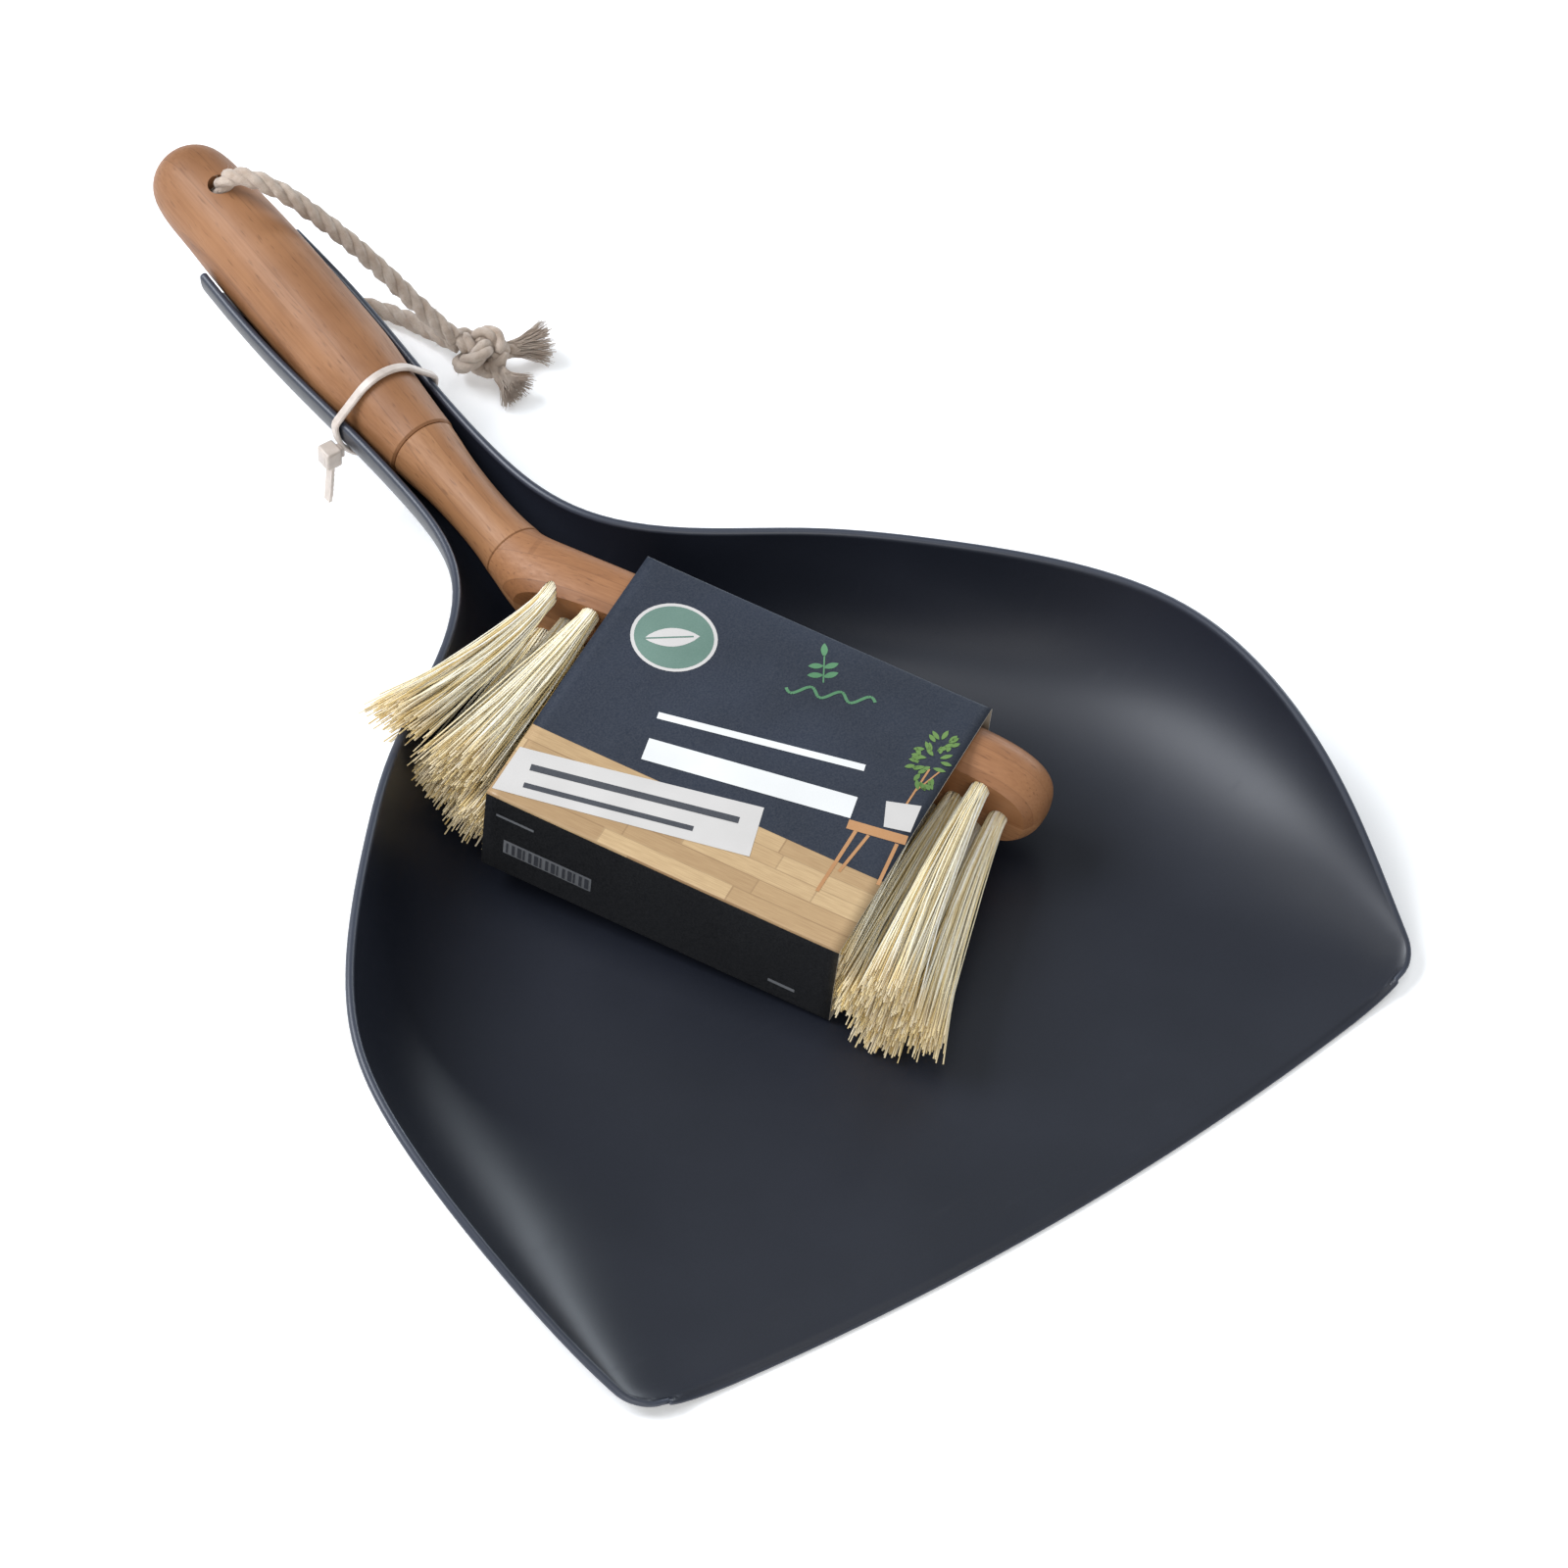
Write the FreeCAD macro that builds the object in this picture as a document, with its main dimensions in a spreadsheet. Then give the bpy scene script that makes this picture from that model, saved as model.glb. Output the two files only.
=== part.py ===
import FreeCAD, Part
import math
import os
import Sketcher
from FreeCAD import Vector, Placement, Rotation

# Dust pan and brush set.
# Frame: millimetres, +Z up. Origin on the flat underside of the pan, in the middle of its
# width and 100 mm behind the middle of the front lip. +Y runs towards the handle, the mouth
# of the pan faces -Y. The set lies flat: the brush rests in the pan with its grip in the
# hollow handle, pitched a little down towards the mouth.

doc = FreeCAD.newDocument("dust_pan_and_brush")

# ---------------------------------------------------------------- driving dimensions
sheet = doc.addObject("Spreadsheet::Sheet", "Dimensions")
sheet.Label = "Dimensions"
DIMS = [
    # pan
    ("pan_wall", 2.2), ("pan_lip", 1.3), ("pan_front", -100.0), ("pan_rear", 240.0),
    ("pan_sagitta", 9.0), ("corner_radius", 7.0), ("floor_cut", 0.2),
    # brush placement
    ("brush_station_y", 210.0), ("brush_station_z", 36.3), ("brush_pitch", 4.8),
    # grip and neck
    ("grip_rear", 66.0), ("grip_front", -48.0), ("grip_radius", 12.2), ("hang_hole_radius", 3.3),
    ("hang_hole_y", 44.0), ("neck_front", -88.0), ("neck_radius", 7.05), ("groove_chamfer", 0.55),
    ("dowel_radius", 4.0), ("dowel_length", 28.0), ("dowel_play", 0.05),
    # head
    ("head_yaw", -62.8), ("head_back", 9.0), ("head_face", 9.0), ("head_half_height", 13.0),
    # tufts
    ("tuft_pitch", 11.7), ("tuft_hole_radius", 2.3), ("tuft_root_radius", 2.15), ("tuft_tip_radius", 4.1),
    ("tuft_hole_depth", 7.0), ("tuft_row_gap", 7.6), ("tuft_reach", 64.0),
    # sleeve
    ("sleeve_length", 93.2), ("sleeve_depth", 83.6), ("sleeve_height", 28.0), ("sleeve_board", 0.5),
    # tie
    ("tie_y", 179.0), ("tie_width", 2.5), ("tie_thick", 1.1),
    # rope
    ("rope_diameter", 4.6),
]
for i, (name, value) in enumerate(DIMS):
    sheet.set("A%d" % (i + 1), name)
    sheet.set("B%d" % (i + 1), str(value))
    sheet.setAlias("B%d" % (i + 1), name)
doc.recompute()


def dim(name):
    return float(sheet.get(name))


# ---------------------------------------------------------------- small helpers
def natural_spline(xs, ys):
    """Natural cubic spline through the points, as a function."""
    n = len(xs)
    hh = [xs[i + 1] - xs[i] for i in range(n - 1)]
    al = [0.0] * n
    for i in range(1, n - 1):
        al[i] = 3 * ((ys[i + 1] - ys[i]) / hh[i] - (ys[i] - ys[i - 1]) / hh[i - 1])
    lo, mu, zz = [1.0] * n, [0.0] * n, [0.0] * n
    for i in range(1, n - 1):
        lo[i] = 2 * (xs[i + 1] - xs[i - 1]) - hh[i - 1] * mu[i - 1]
        mu[i] = hh[i] / lo[i]
        zz[i] = (al[i] - hh[i - 1] * zz[i - 1]) / lo[i]
    c, b, d = [0.0] * n, [0.0] * n, [0.0] * n
    for j in range(n - 2, -1, -1):
        c[j] = zz[j] - mu[j] * c[j + 1]
        b[j] = (ys[j + 1] - ys[j]) / hh[j] - hh[j] * (c[j + 1] + 2 * c[j]) / 3
        d[j] = (c[j + 1] - c[j]) / (3 * hh[j])

    def f(x):
        x = min(max(x, xs[0]), xs[-1])
        j = 0
        while j < n - 2 and x > xs[j + 1]:
            j += 1
        t = x - xs[j]
        return ys[j] + b[j] * t + c[j] * t * t + d[j] * t ** 3

    return f


def smooth(a, b, x):
    t = min(max((x - a) / (b - a), 0.0), 1.0)
    return t * t * t * (t * (6 * t - 15) + 10)


parts = []


def keep(obj, label):
    obj.Label = label
    parts.append((label, obj))
    return obj


def feature(label, shape, placement=None):
    obj = doc.addObject("Part::Feature", label)
    obj.Shape = shape
    if placement is not None:
        obj.Placement = placement
    return keep(obj, label)


# ---------------------------------------------------------------- pan shell
# Rim of the pan along Y: half width and height of the rim's centre line, and the height of
# the outside of the bottom under the centre line.
RIM_Y = [-112, -91, -51, -15, 15, 41.6, 64.7, 84.6, 101, 114.3, 131, 151, 174, 197, 220, 240]
RIM_W = [107.5, 113.7, 123.4, 125.7, 119.3, 102.0, 81.2, 59.6, 36.6, 22.9, 14.9, 12.6, 12.8, 14.0, 14.6, 14.0]
RIM_Z = [1.2, 3.2, 19.3, 30.4, 34.4, 35.5, 34.9, 33.8, 33.4, 33.6, 33.8, 33.9, 34.4, 35.1, 36.0, 37.0]
BOT_Y = [-112, -50, 0, 45, 58, 70, 84.6, 96, 106, 118, 131, 151, 174, 197, 220, 240]
BOT_Z = [0.0, 0.0, 0.0, 0.0, 0.15, 0.9, 3.0, 6.0, 9.6, 14.0, 17.6, 19.3, 19.9, 20.6, 22.0, 23.2]
rim_w = natural_spline(RIM_Y, RIM_W)
rim_z = natural_spline(RIM_Y, RIM_Z)
bot_raw = natural_spline(BOT_Y, BOT_Z)


def bot(y):
    return (0.0 if y < 46 else max(bot_raw(y), 0.0)) - dim("floor_cut")


def wall(y):
    return dim("pan_lip") + (dim("pan_wall") - dim("pan_lip")) * smooth(-101, -76, y)


def bowl(f, s):
    """Flat floor out to share f of the half width, then a flaring wall."""
    s0 = 0.36
    if s <= s0:
        return f * s / s0, 0.0
    u = (s - s0) / (1 - s0)
    p1, p2 = f + (1 - f) * 0.50, f + (1 - f) * 0.86
    x = f * (1 - u) ** 3 + 3 * p1 * u * (1 - u) ** 2 + 3 * p2 * u * u * (1 - u) + u ** 3
    z = 3 * 0.14 * u * u * (1 - u) + u ** 3
    return x, z


def mid(y, s):
    """Middle of the wall: s runs from the centre line (0) to the rim (1)."""
    beta = 1 - smooth(52, 132, y)
    front = 1 - smooth(-100, -30, y)
    hx, hz = math.sin(math.pi * s / 2), 1 - math.cos(math.pi * s / 2)
    bx, bz = bowl(0.46 + 0.26 * front, s)
    fx, fz = (1 - beta) * hx + beta * bx, (1 - beta) * hz + beta * bz
    low = bot(y) + wall(y) / 2
    return Vector(rim_w(y) * fx, y, low + (rim_z(y) - low) * fz)


def pan_surface():
    rows = []
    y = -108.0
    while y < 240.001:
        rows.append(y)
        if y < 40:
            y += 9.25
        elif y < 135:
            y += 4.75
        else:
            y += 7.0
    rows[-1] = 240.0
    n = 22
    ss = [1 - (1 - i / n) ** 1.3 for i in range(n + 1)]
    table = []
    for r, y in enumerate(rows):
        half_t = wall(y) / 2
        pts_mid, normals = [], []
        for s in ss:
            p = mid(y, s)
            ds = mid(y, min(s + 0.004, 1.0)) - mid(y, max(s - 0.004, 0.0))
            dy = mid(min(y + 0.5, 240), s) - mid(max(y - 0.5, -112), s)
            if y > 239 or y < -105:
                dy = Vector(0, 1, 0)
            m = ds.cross(dy)
            m.normalize()
            if m.dot(Vector(-ds.z, 0, ds.x)) < 0:
                m = -m
            pts_mid.append(p)
            normals.append(m)
        normals[0] = Vector(0, normals[0].y, normals[0].z).normalize()
        outer = [p - m * half_t for p, m in zip(pts_mid, normals)]
        inner = [p + m * half_t for p, m in zip(pts_mid, normals)]
        ds = mid(y, 1.0) - mid(y, 0.99)
        dy = mid(min(y + 0.5, 240), 1.0) - mid(max(y - 0.5, -112), 1.0)
        if y > 239 or y < -105:
            dy = Vector(0, 1, 0)
        out = dy.cross(normals[-1])
        out.normalize()
        if out.dot(ds) < 0:
            out = -out
        cap = []
        for k in (1, 2, 3):
            a = math.pi * k / 4
            cap.append(pts_mid[-1] - normals[-1] * (half_t * math.cos(a)) + out * (half_t * math.sin(a)))
        right = outer + cap + inner[::-1]      # centre of the outside, round the +X rim, to the centre inside
        left = [Vector(-p.x, p.y, p.z) for p in right[::-1]]
        table.append(right + left[1:])
    return rows, table


def pan_shell():
    rows, table = pan_surface()
    surf = Part.BSplineSurface()
    surf.interpolate(table)
    u0, u1, v0, v1 = surf.bounds()
    nu, nv = 8, 12
    us = [u0 + (u1 - u0) * i / nu for i in range(nu + 1)]
    vs = [v0 + (v1 - v0) * i / nv for i in range(nv + 1)]
    faces, rims = [], {0: [], nu: []}
    for i in range(nu):
        for j in range(nv):
            patch = surf.copy()
            patch.segment(us[i], us[i + 1], vs[j], vs[j + 1])
            faces.append(patch.toShape())
            pu0, pu1 = patch.bounds()[:2]
            if i == 0:
                rims[0].append(patch.uIso(pu0).toShape())
            if i == nu - 1:
                rims[nu].append(patch.uIso(pu1).toShape())
    for k in (0, nu):
        faces.append(Part.Face(Part.Wire(Part.__sortEdges__(rims[k]))))
    shell = Part.makeShell(faces)
    shell.sewShape()
    solid = Part.Solid(shell)
    if solid.Volume < 0:
        solid.reverse()
    # flat underside to stand on
    ground = Part.makeBox(400, 500, 20, Vector(-200, -200, -20))
    solid = solid.cut(ground)
    # front outline: a shallow arc with rounded corners
    f, sag, rc = dim("pan_front"), dim("pan_sagitta"), dim("corner_radius")
    w = 113.0
    left, centre, right = Vector(-w, f + sag, -5), Vector(0, f, -5), Vector(w, f + sag, -5)
    arc = Part.Arc(left, centre, right)
    r_arc = arc.toShape().Curve.Radius
    # a tangent extension of the arc on both sides, then forward and closed
    t_right = Vector(w, 0, 0)
    slope = w / (r_arc - sag)
    a_left = Vector(-w - 40, f + sag + 40 * slope, -5)
    a_right = Vector(w + 40, f + sag + 40 * slope, -5)
    edges = [arc.toShape(), Part.LineSegment(right, a_right).toShape(),
             Part.LineSegment(a_right, Vector(w + 40, f - 60, -5)).toShape(),
             Part.LineSegment(Vector(w + 40, f - 60, -5), Vector(-w - 40, f - 60, -5)).toShape(),
             Part.LineSegment(Vector(-w - 40, f - 60, -5), a_left).toShape(),
             Part.LineSegment(a_left, left).toShape()]
    prism = Part.Face(Part.Wire(Part.__sortEdges__(edges))).extrude(Vector(0, 0, 80))
    solid = solid.cut(prism)
    # round the two front corners in plan: remove what lies outside a circle tangent to the
    # front arc and to the side of the pan
    for sx in (-1, 1):
        cy = f + sag + rc + 0.2
        cx = rim_w(cy) + dim("pan_wall") / 2 - rc * 1.02
        block = Part.makeBox(30, rc + 6, 60, Vector(cx if sx > 0 else -cx - 30, cy - rc - 6, -5))
        disc = Part.makeCylinder(rc, 60, Vector(sx * cx, cy, -5))
        solid = solid.cut(block.cut(disc))
    best = sorted(solid.Solids, key=lambda q: -q.Volume)[0]
    return best


feature("pan_shell", pan_shell())


def inside_height(x, y):
    """Height of the pan's inner surface at a point, or of the rim where the point is beyond it."""
    x = abs(x)
    if x >= rim_w(y):
        return rim_z(y) + 1.1
    lo, hi = 0.0, 1.0
    for _ in range(30):
        m = (lo + hi) / 2
        if mid(y, m).x < x:
            lo = m
        else:
            hi = m
    s = (lo + hi) / 2
    a, b = mid(y, max(s - 0.01, 0)), mid(y, min(s + 0.01, 1))
    d = b - a
    ln = math.hypot(d.x, d.z)
    return mid(y, s).z + wall(y) / 2 * ln / max(abs(d.x), 0.25 * ln)


# ---------------------------------------------------------------- brush frame
# Local frame of the brush: x across, y back along the grip, z square to the plane that the
# grip and the head share.
PITCH = dim("brush_pitch")
BRUSH = Placement(Vector(0, dim("brush_station_y"), dim("brush_station_z")), Rotation(Vector(1, 0, 0), PITCH))


def plane_of(body, role):
    for o in body.Origin.OriginFeatures:
        if o.Role == role:
            return o
    raise ValueError(role)


def turned(label, outline, bore_rear, bore_front, tip_y):
    """A turned bamboo piece: outline is (y, radius) from rear to front, bores are dowel sockets."""
    body = doc.addObject("PartDesign::Body", label)
    sk = body.newObject("Sketcher::SketchObject", label + "_profile")
    sk.AttachmentSupport = [(plane_of(body, "XY_Plane"), "")]
    sk.MapMode = "FlatFace"
    pts = [Vector(r, y, 0) for y, r in outline]
    br = dim("dowel_radius") + dim("dowel_play")
    geo = []
    first, last = pts[0], pts[-1]
    curve = Part.BSplineCurve()
    curve.interpolate(pts[1:-1]) if first.x > 0.01 else curve.interpolate(pts[:-1])
    c_start, c_end = (pts[1] if first.x > 0.01 else pts[0]), pts[-2]
    geo.append(curve)
    geo.append(Part.LineSegment(c_end, last))                       # groove chamfer at the front
    corner = [last]
    if bore_front:
        corner += [Vector(br, last.y, 0), Vector(br, last.y + bore_front, 0), Vector(0, last.y + bore_front, 0)]
    else:
        corner += [Vector(0, last.y, 0)]
    if bore_rear:
        corner += [Vector(0, first.y - bore_rear, 0), Vector(br, first.y - bore_rear, 0), Vector(br, first.y, 0), first, c_start]
    else:
        corner += [c_start]
    for a, b in zip(corner[:-1], corner[1:]):
        geo.append(Part.LineSegment(a, b))
    sk.addGeometry(geo, False)
    ids = list(range(len(geo)))
    for i in ids:
        j = (i + 1) % len(ids)
        sk.addConstraint(Sketcher.Constraint("Coincident", i, 2, j, 1))
    rev = body.newObject("PartDesign::Revolution", label + "_turned")
    rev.Profile = sk
    rev.ReferenceAxis = (sk, ["V_Axis"])
    rev.Angle = 360
    doc.recompute()
    return body


gc = dim("groove_chamfer")
gr = dim("grip_radius")
rear, front = dim("grip_rear"), dim("grip_front")
grip = turned("handle_grip", [
    (rear, 0.0), (rear - 0.5, 3.4), (rear - 2.2, 6.8), (rear - 5.4, 9.5), (rear - 10.5, 11.0), (44.0, 11.6),
    (31.0, 12.05), (18.0, gr), (5.0, gr - 0.02), (-7.0, gr - 0.15), (-18.0, gr - 0.5), (-28.0, 10.75), (-38.0, 9.85),
    (front + gc, 9.25), (front, 9.25 - gc)], 0, 15.0, rear)
# hole for the hanging rope
hs = grip.newObject("Sketcher::SketchObject", "hang_hole_sketch")
hs.AttachmentSupport = [(plane_of(grip, "XY_Plane"), "")]
hs.MapMode = "FlatFace"
hs.addGeometry(Part.Circle(Vector(0, dim("hang_hole_y"), 0), Vector(0, 0, 1), dim("hang_hole_radius")), False)
c0 = hs.addConstraint(Sketcher.Constraint("Radius", 0, dim("hang_hole_radius")))
hs.setExpression("Constraints[%d]" % c0, "Dimensions.hang_hole_radius")
c1 = hs.addConstraint(Sketcher.Constraint("DistanceY", -1, 1, 0, 3, dim("hang_hole_y")))
hs.setExpression("Constraints[%d]" % c1, "Dimensions.hang_hole_y")
hs.addConstraint(Sketcher.Constraint("PointOnObject", 0, 3, -2))
before = grip.Shape.Volume
hp = grip.newObject("PartDesign::Pocket", "hang_hole")
hp.Profile = hs
hp.Type = 1
hp.Midplane = True
doc.recompute()
if not grip.Shape.Volume < before - 100:
    raise RuntimeError("the hanging hole cut nothing")
grip.Placement = BRUSH
keep(grip, "handle_grip")

nf = dim("neck_front")
nr = dim("neck_radius")
neck = turned("handle_neck", [
    (front, 8.85 - gc), (front - gc, 8.85), (-53.0, 8.35), (-59.0, 7.65), (-66.0, 7.2), (-74.0, nr), (-81.0, 7.3),
    (nf + gc, 8.0), (nf, 8.0 - gc)], 13.9, 13.9, front)
neck.Placement = BRUSH
keep(neck, "handle_neck")


def dowel(label, y_mid):
    cyl = doc.addObject("Part::Cylinder", label)
    cyl.setExpression("Radius", "Dimensions.dowel_radius")
    cyl.setExpression("Height", "Dimensions.dowel_length - 1")
    loc = Placement(Vector(0, y_mid + (dim("dowel_length") - 1) / 2, 0), Rotation(Vector(1, 0, 0), 90))
    cyl.Placement = BRUSH.multiply(loc)
    return keep(cyl, label)


dowel("grip_dowel", front + 0.4)
dowel("neck_dowel", nf + 0.2)

# ---------------------------------------------------------------- brush head
YAW = math.radians(dim("head_yaw"))
A_DIR = Vector(math.cos(YAW), math.sin(YAW), 0)          # along the head, towards its free end
B_DIR = Vector(A_DIR.y, -A_DIR.x, 0)                     # the way the bristles point
SLEEVE_C = Vector(4.2, -175.4, 0)                        # middle of the cardboard sleeve
FACE_B = -23.0                                           # the head's bristle face, from the sleeve's middle
AXIS_B = FACE_B - dim("head_face")                       # the head's centre line
BEND = Vector(0, -97.4, 0)


def on_head(a, b, w):
    return SLEEVE_C + A_DIR * a + B_DIR * b + Vector(0, 0, w)


def head_section(centre, tangent, back, face, high, power, count=36):
    b = Vector(tangent.y, -tangent.x, 0)
    pts = []
    for k in range(count):
        th = 2 * math.pi * k / count
        c, s = math.cos(th), math.sin(th)
        r = 1.0 / (abs(c) ** power + abs(s) ** power) ** (1.0 / power)
        pts.append(centre + b * ((face if c > 0 else back) * r * c) + Vector(0, 0, high * r * s))
    cv = Part.BSplineCurve()
    cv.interpolate(pts, PeriodicFlag=True)
    return Part.Wire([cv.toShape()])


def brush_head():
    p0, p1 = Vector(0, nf, 0), BEND
    p2 = BEND + A_DIR * 21.0
    wires = []
    bend_sizes = [(0.0, 8.0, 8.0, 8.0, 2.0), (0.22, 8.3, 9.2, 8.8, 2.05), (0.48, 8.8, 11.4, 10.3, 2.15),
                  (0.75, 9.0, 13.0, 11.7, 2.25), (1.0, 9.0, 14.0, 12.5, 2.3)]
    for t, back, face, high, power in bend_sizes:
        c = p0 * ((1 - t) ** 2) + p1 * (2 * t * (1 - t)) + p2 * (t * t)
        d = (p1 - p0) * (1 - t) + (p2 - p1) * t
        d.normalize()
        wires.append(head_section(c, d, back, face, high, power))
    hb, hh = dim("head_back"), dim("head_half_height")
    for s, q in [(32, 0.995), (44, 1.0), (70, 1.0), (96, 1.0), (114, 1.0), (121, 0.985), (127, 0.94), (131.5, 0.86),
                 (135, 0.74), (137.4, 0.58), (138.8, 0.38), (139.3, 0.16)]:
        wires.append(head_section(BEND + A_DIR * s, A_DIR, hb * q, 14.0 * q, hh * q, 2.3))
    solid = Part.makeLoft(wires, True, False, False)
    # flat bristle face
    slab = Part.makeBox(400, 60, 60, Vector(-200, 0, -30))
    rot = Rotation(Vector(1, 0, 0), A_DIR)
    # the slab's own +y must lie on the bristle side
    pl = Placement(on_head(0, FACE_B, 0), rot)
    if pl.multVec(Vector(0, 1, 0)).sub(pl.Base).dot(B_DIR) < 0:
        slab = Part.makeBox(400, 60, 60, Vector(-200, -60, -30))
    slab.Placement = pl
    solid = solid.cut(slab)
    # dowel socket
    br = dim("dowel_radius") + dim("dowel_play")
    solid = solid.cut(Part.makeCylinder(br, 14.5, Vector(0, nf + 0.5, 0), Vector(0, -1, 0)))
    # tuft holes
    for a, w in TUFTS:
        solid = solid.cut(Part.makeCylinder(dim("tuft_hole_radius"), dim("tuft_hole_depth") + 6,
                                            on_head(a, FACE_B - dim("tuft_hole_depth"), w), B_DIR))
    return sorted(solid.Solids, key=lambda q: -q.Volume)[0]


gap, pitch = dim("tuft_row_gap"), dim("tuft_pitch")
TOP = [(-64.0 + pitch * i, gap) for i in range(11)]
MIDDLE = [(-58.2 + pitch * i, 0.0) for i in range(11)]
BOTTOM = [(-64.0 + pitch * i, -gap) for i in range(11)]
TUFTS = TOP + MIDDLE + BOTTOM
feature("brush_head", brush_head(), BRUSH)

# ---------------------------------------------------------------- bristle tufts and their anchors


def to_world(p):
    return BRUSH.multVec(p)


def tip_of(a, w, lift):
    """Where the middle of a tuft's end lies: straight inside the sleeve, fanned out at its two open ends."""
    reach = FACE_B + dim("tuft_reach")
    wt = w * 1.17
    if a < -48:                                          # left of the sleeve: the upper rows fan out over the rim
        k = (-48 - a) / 16.0
        f = 0.5 + 0.5 * w / dim("tuft_row_gap")
        return a + (1 - f) * (1.5 if a < -60 else 0.3) - f * (3.0 + 15.0 * k), reach - 3.0 - 9.0 * k, wt + lift
    if a > 45:                                           # right of the sleeve: fanned towards the free end
        k = (a - 45) / 14.0
        return a + 3.0 + 12.0 * k, reach - 0.6 - 1.4 * k, wt
    return a + 3.5 * (a / 45.0) ** 3, reach, wt


def clears_pan(a, w, lift, r_root, r_tip):
    """Whether a tuft fanned out of the left end passes over the side of the pan."""
    root = on_head(a, FACE_B, w)
    tip = on_head(*tip_of(a, w, lift))
    axis = (tip - root).normalize()
    side = axis.cross(Vector(0, 0, 1)).normalize()
    up = side.cross(axis)
    for k in range(1, 17):
        t = k / 16.0
        r = r_root + (r_tip - r_root) * t + 0.6
        c = root + (tip - root) * t
        for m in range(16):
            g = 2 * math.pi * m / 16
            q = to_world(c + side * (r * math.cos(g)) + up * (r * math.sin(g)))
            if q.z < inside_height(q.x, q.y) + 0.3:
                return False
    return True


LIFTS = {}


def lift_for(a, w):
    """Left of the sleeve a tuft is lifted until it clears the pan's side."""
    if a >= -48:
        return 0.0
    key = (round(a, 1), w)
    if key not in LIFTS:
        lift = 0.0
        while lift < 30 and not clears_pan(a, w, lift, dim("tuft_root_radius"), dim("tuft_tip_radius")):
            lift += 0.5
        LIFTS[key] = lift
        print("tuft at %.1f, %.1f lifted %.1f" % (a, w, lift))
    return LIFTS[key]


def circle_wire(centre, normal, radius):
    return Part.Wire([Part.Circle(centre, normal, radius).toShape()])


def tuft(a, w, r_root, r_tip):
    """One tuft: a cylinder in its hole and a spreading cone from the head's face to the cut ends."""
    deep = dim("tuft_hole_depth") - 1.6
    root = on_head(a, FACE_B, w)
    tip = on_head(*tip_of(a, w, lift_for(a, w)))
    axis = (tip - root).normalize()
    wires = [circle_wire(root - B_DIR * deep, B_DIR, r_root), circle_wire(root, B_DIR, r_root),
             circle_wire(tip, axis, r_tip)]
    return Part.makeLoft(wires, True, True, False)


def row(label, places):
    shapes = [tuft(a, w, dim("tuft_root_radius"), dim("tuft_tip_radius")) for a, w in places]
    return feature(label, Part.makeCompound([s.Solids[0] for s in shapes]), BRUSH)


row("bristles_top_row", TOP)
row("bristles_middle_row", MIDDLE)
row("bristles_bottom_row", BOTTOM)


def anchors():
    """Flat wire anchors driven across the bottom of each tuft hole."""
    out = []
    for a, w in TUFTS:
        p = on_head(a, FACE_B - dim("tuft_hole_depth") + 0.1, w)
        plate = Part.makeBox(3.8, 1.3, 0.4, Vector(-1.9, 0, -0.2))
        plate.Placement = Placement(p, Rotation(A_DIR, B_DIR, Vector(0, 0, 1), "XYZ"))
        out.append(plate)
    return Part.makeCompound(out)


feature("tuft_anchors", anchors(), BRUSH)

# ---------------------------------------------------------------- cardboard sleeve
outer = doc.addObject("Part::Box", "sleeve_outside")
outer.setExpression("Length", "Dimensions.sleeve_length")
outer.setExpression("Width", "Dimensions.sleeve_depth")
outer.setExpression("Height", "Dimensions.sleeve_height")
inner = doc.addObject("Part::Box", "sleeve_inside")
inner.setExpression("Length", "Dimensions.sleeve_length + 10")
inner.setExpression("Width", "Dimensions.sleeve_depth - 2 * Dimensions.sleeve_board")
inner.setExpression("Height", "Dimensions.sleeve_height - 2 * Dimensions.sleeve_board")
sl, sd, sh, sb = dim("sleeve_length"), dim("sleeve_depth"), dim("sleeve_height"), dim("sleeve_board")
outer.Placement = Placement(Vector(-sl / 2, -sd / 2, -sh / 2), Rotation())
inner.Placement = Placement(Vector(-sl / 2 - 5, -sd / 2 + sb, -sh / 2 + sb), Rotation())
sleeve = doc.addObject("Part::Cut", "sleeve")
sleeve.Base = outer
sleeve.Tool = inner
doc.recompute()
sleeve.Placement = BRUSH.multiply(Placement(SLEEVE_C, Rotation(Vector(0, 0, 1), dim("head_yaw"))))
keep(sleeve, "sleeve")

# ---------------------------------------------------------------- cable tie
# A band round the grip and the pan's handle, its lock on the left and the cut tail below it.


def cross(o, a, b):
    return (a[0] - o[0]) * (b[1] - o[1]) - (a[1] - o[1]) * (b[0] - o[0])


def hull(points):
    pts = sorted(set(points))
    lower, upper = [], []
    for p in pts:
        while len(lower) >= 2 and cross(lower[-2], lower[-1], p) <= 0:
            lower.pop()
        lower.append(p)
    for p in reversed(pts):
        while len(upper) >= 2 and cross(upper[-2], upper[-1], p) <= 0:
            upper.pop()
        upper.append(p)
    return lower[:-1] + upper[:-1]


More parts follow.
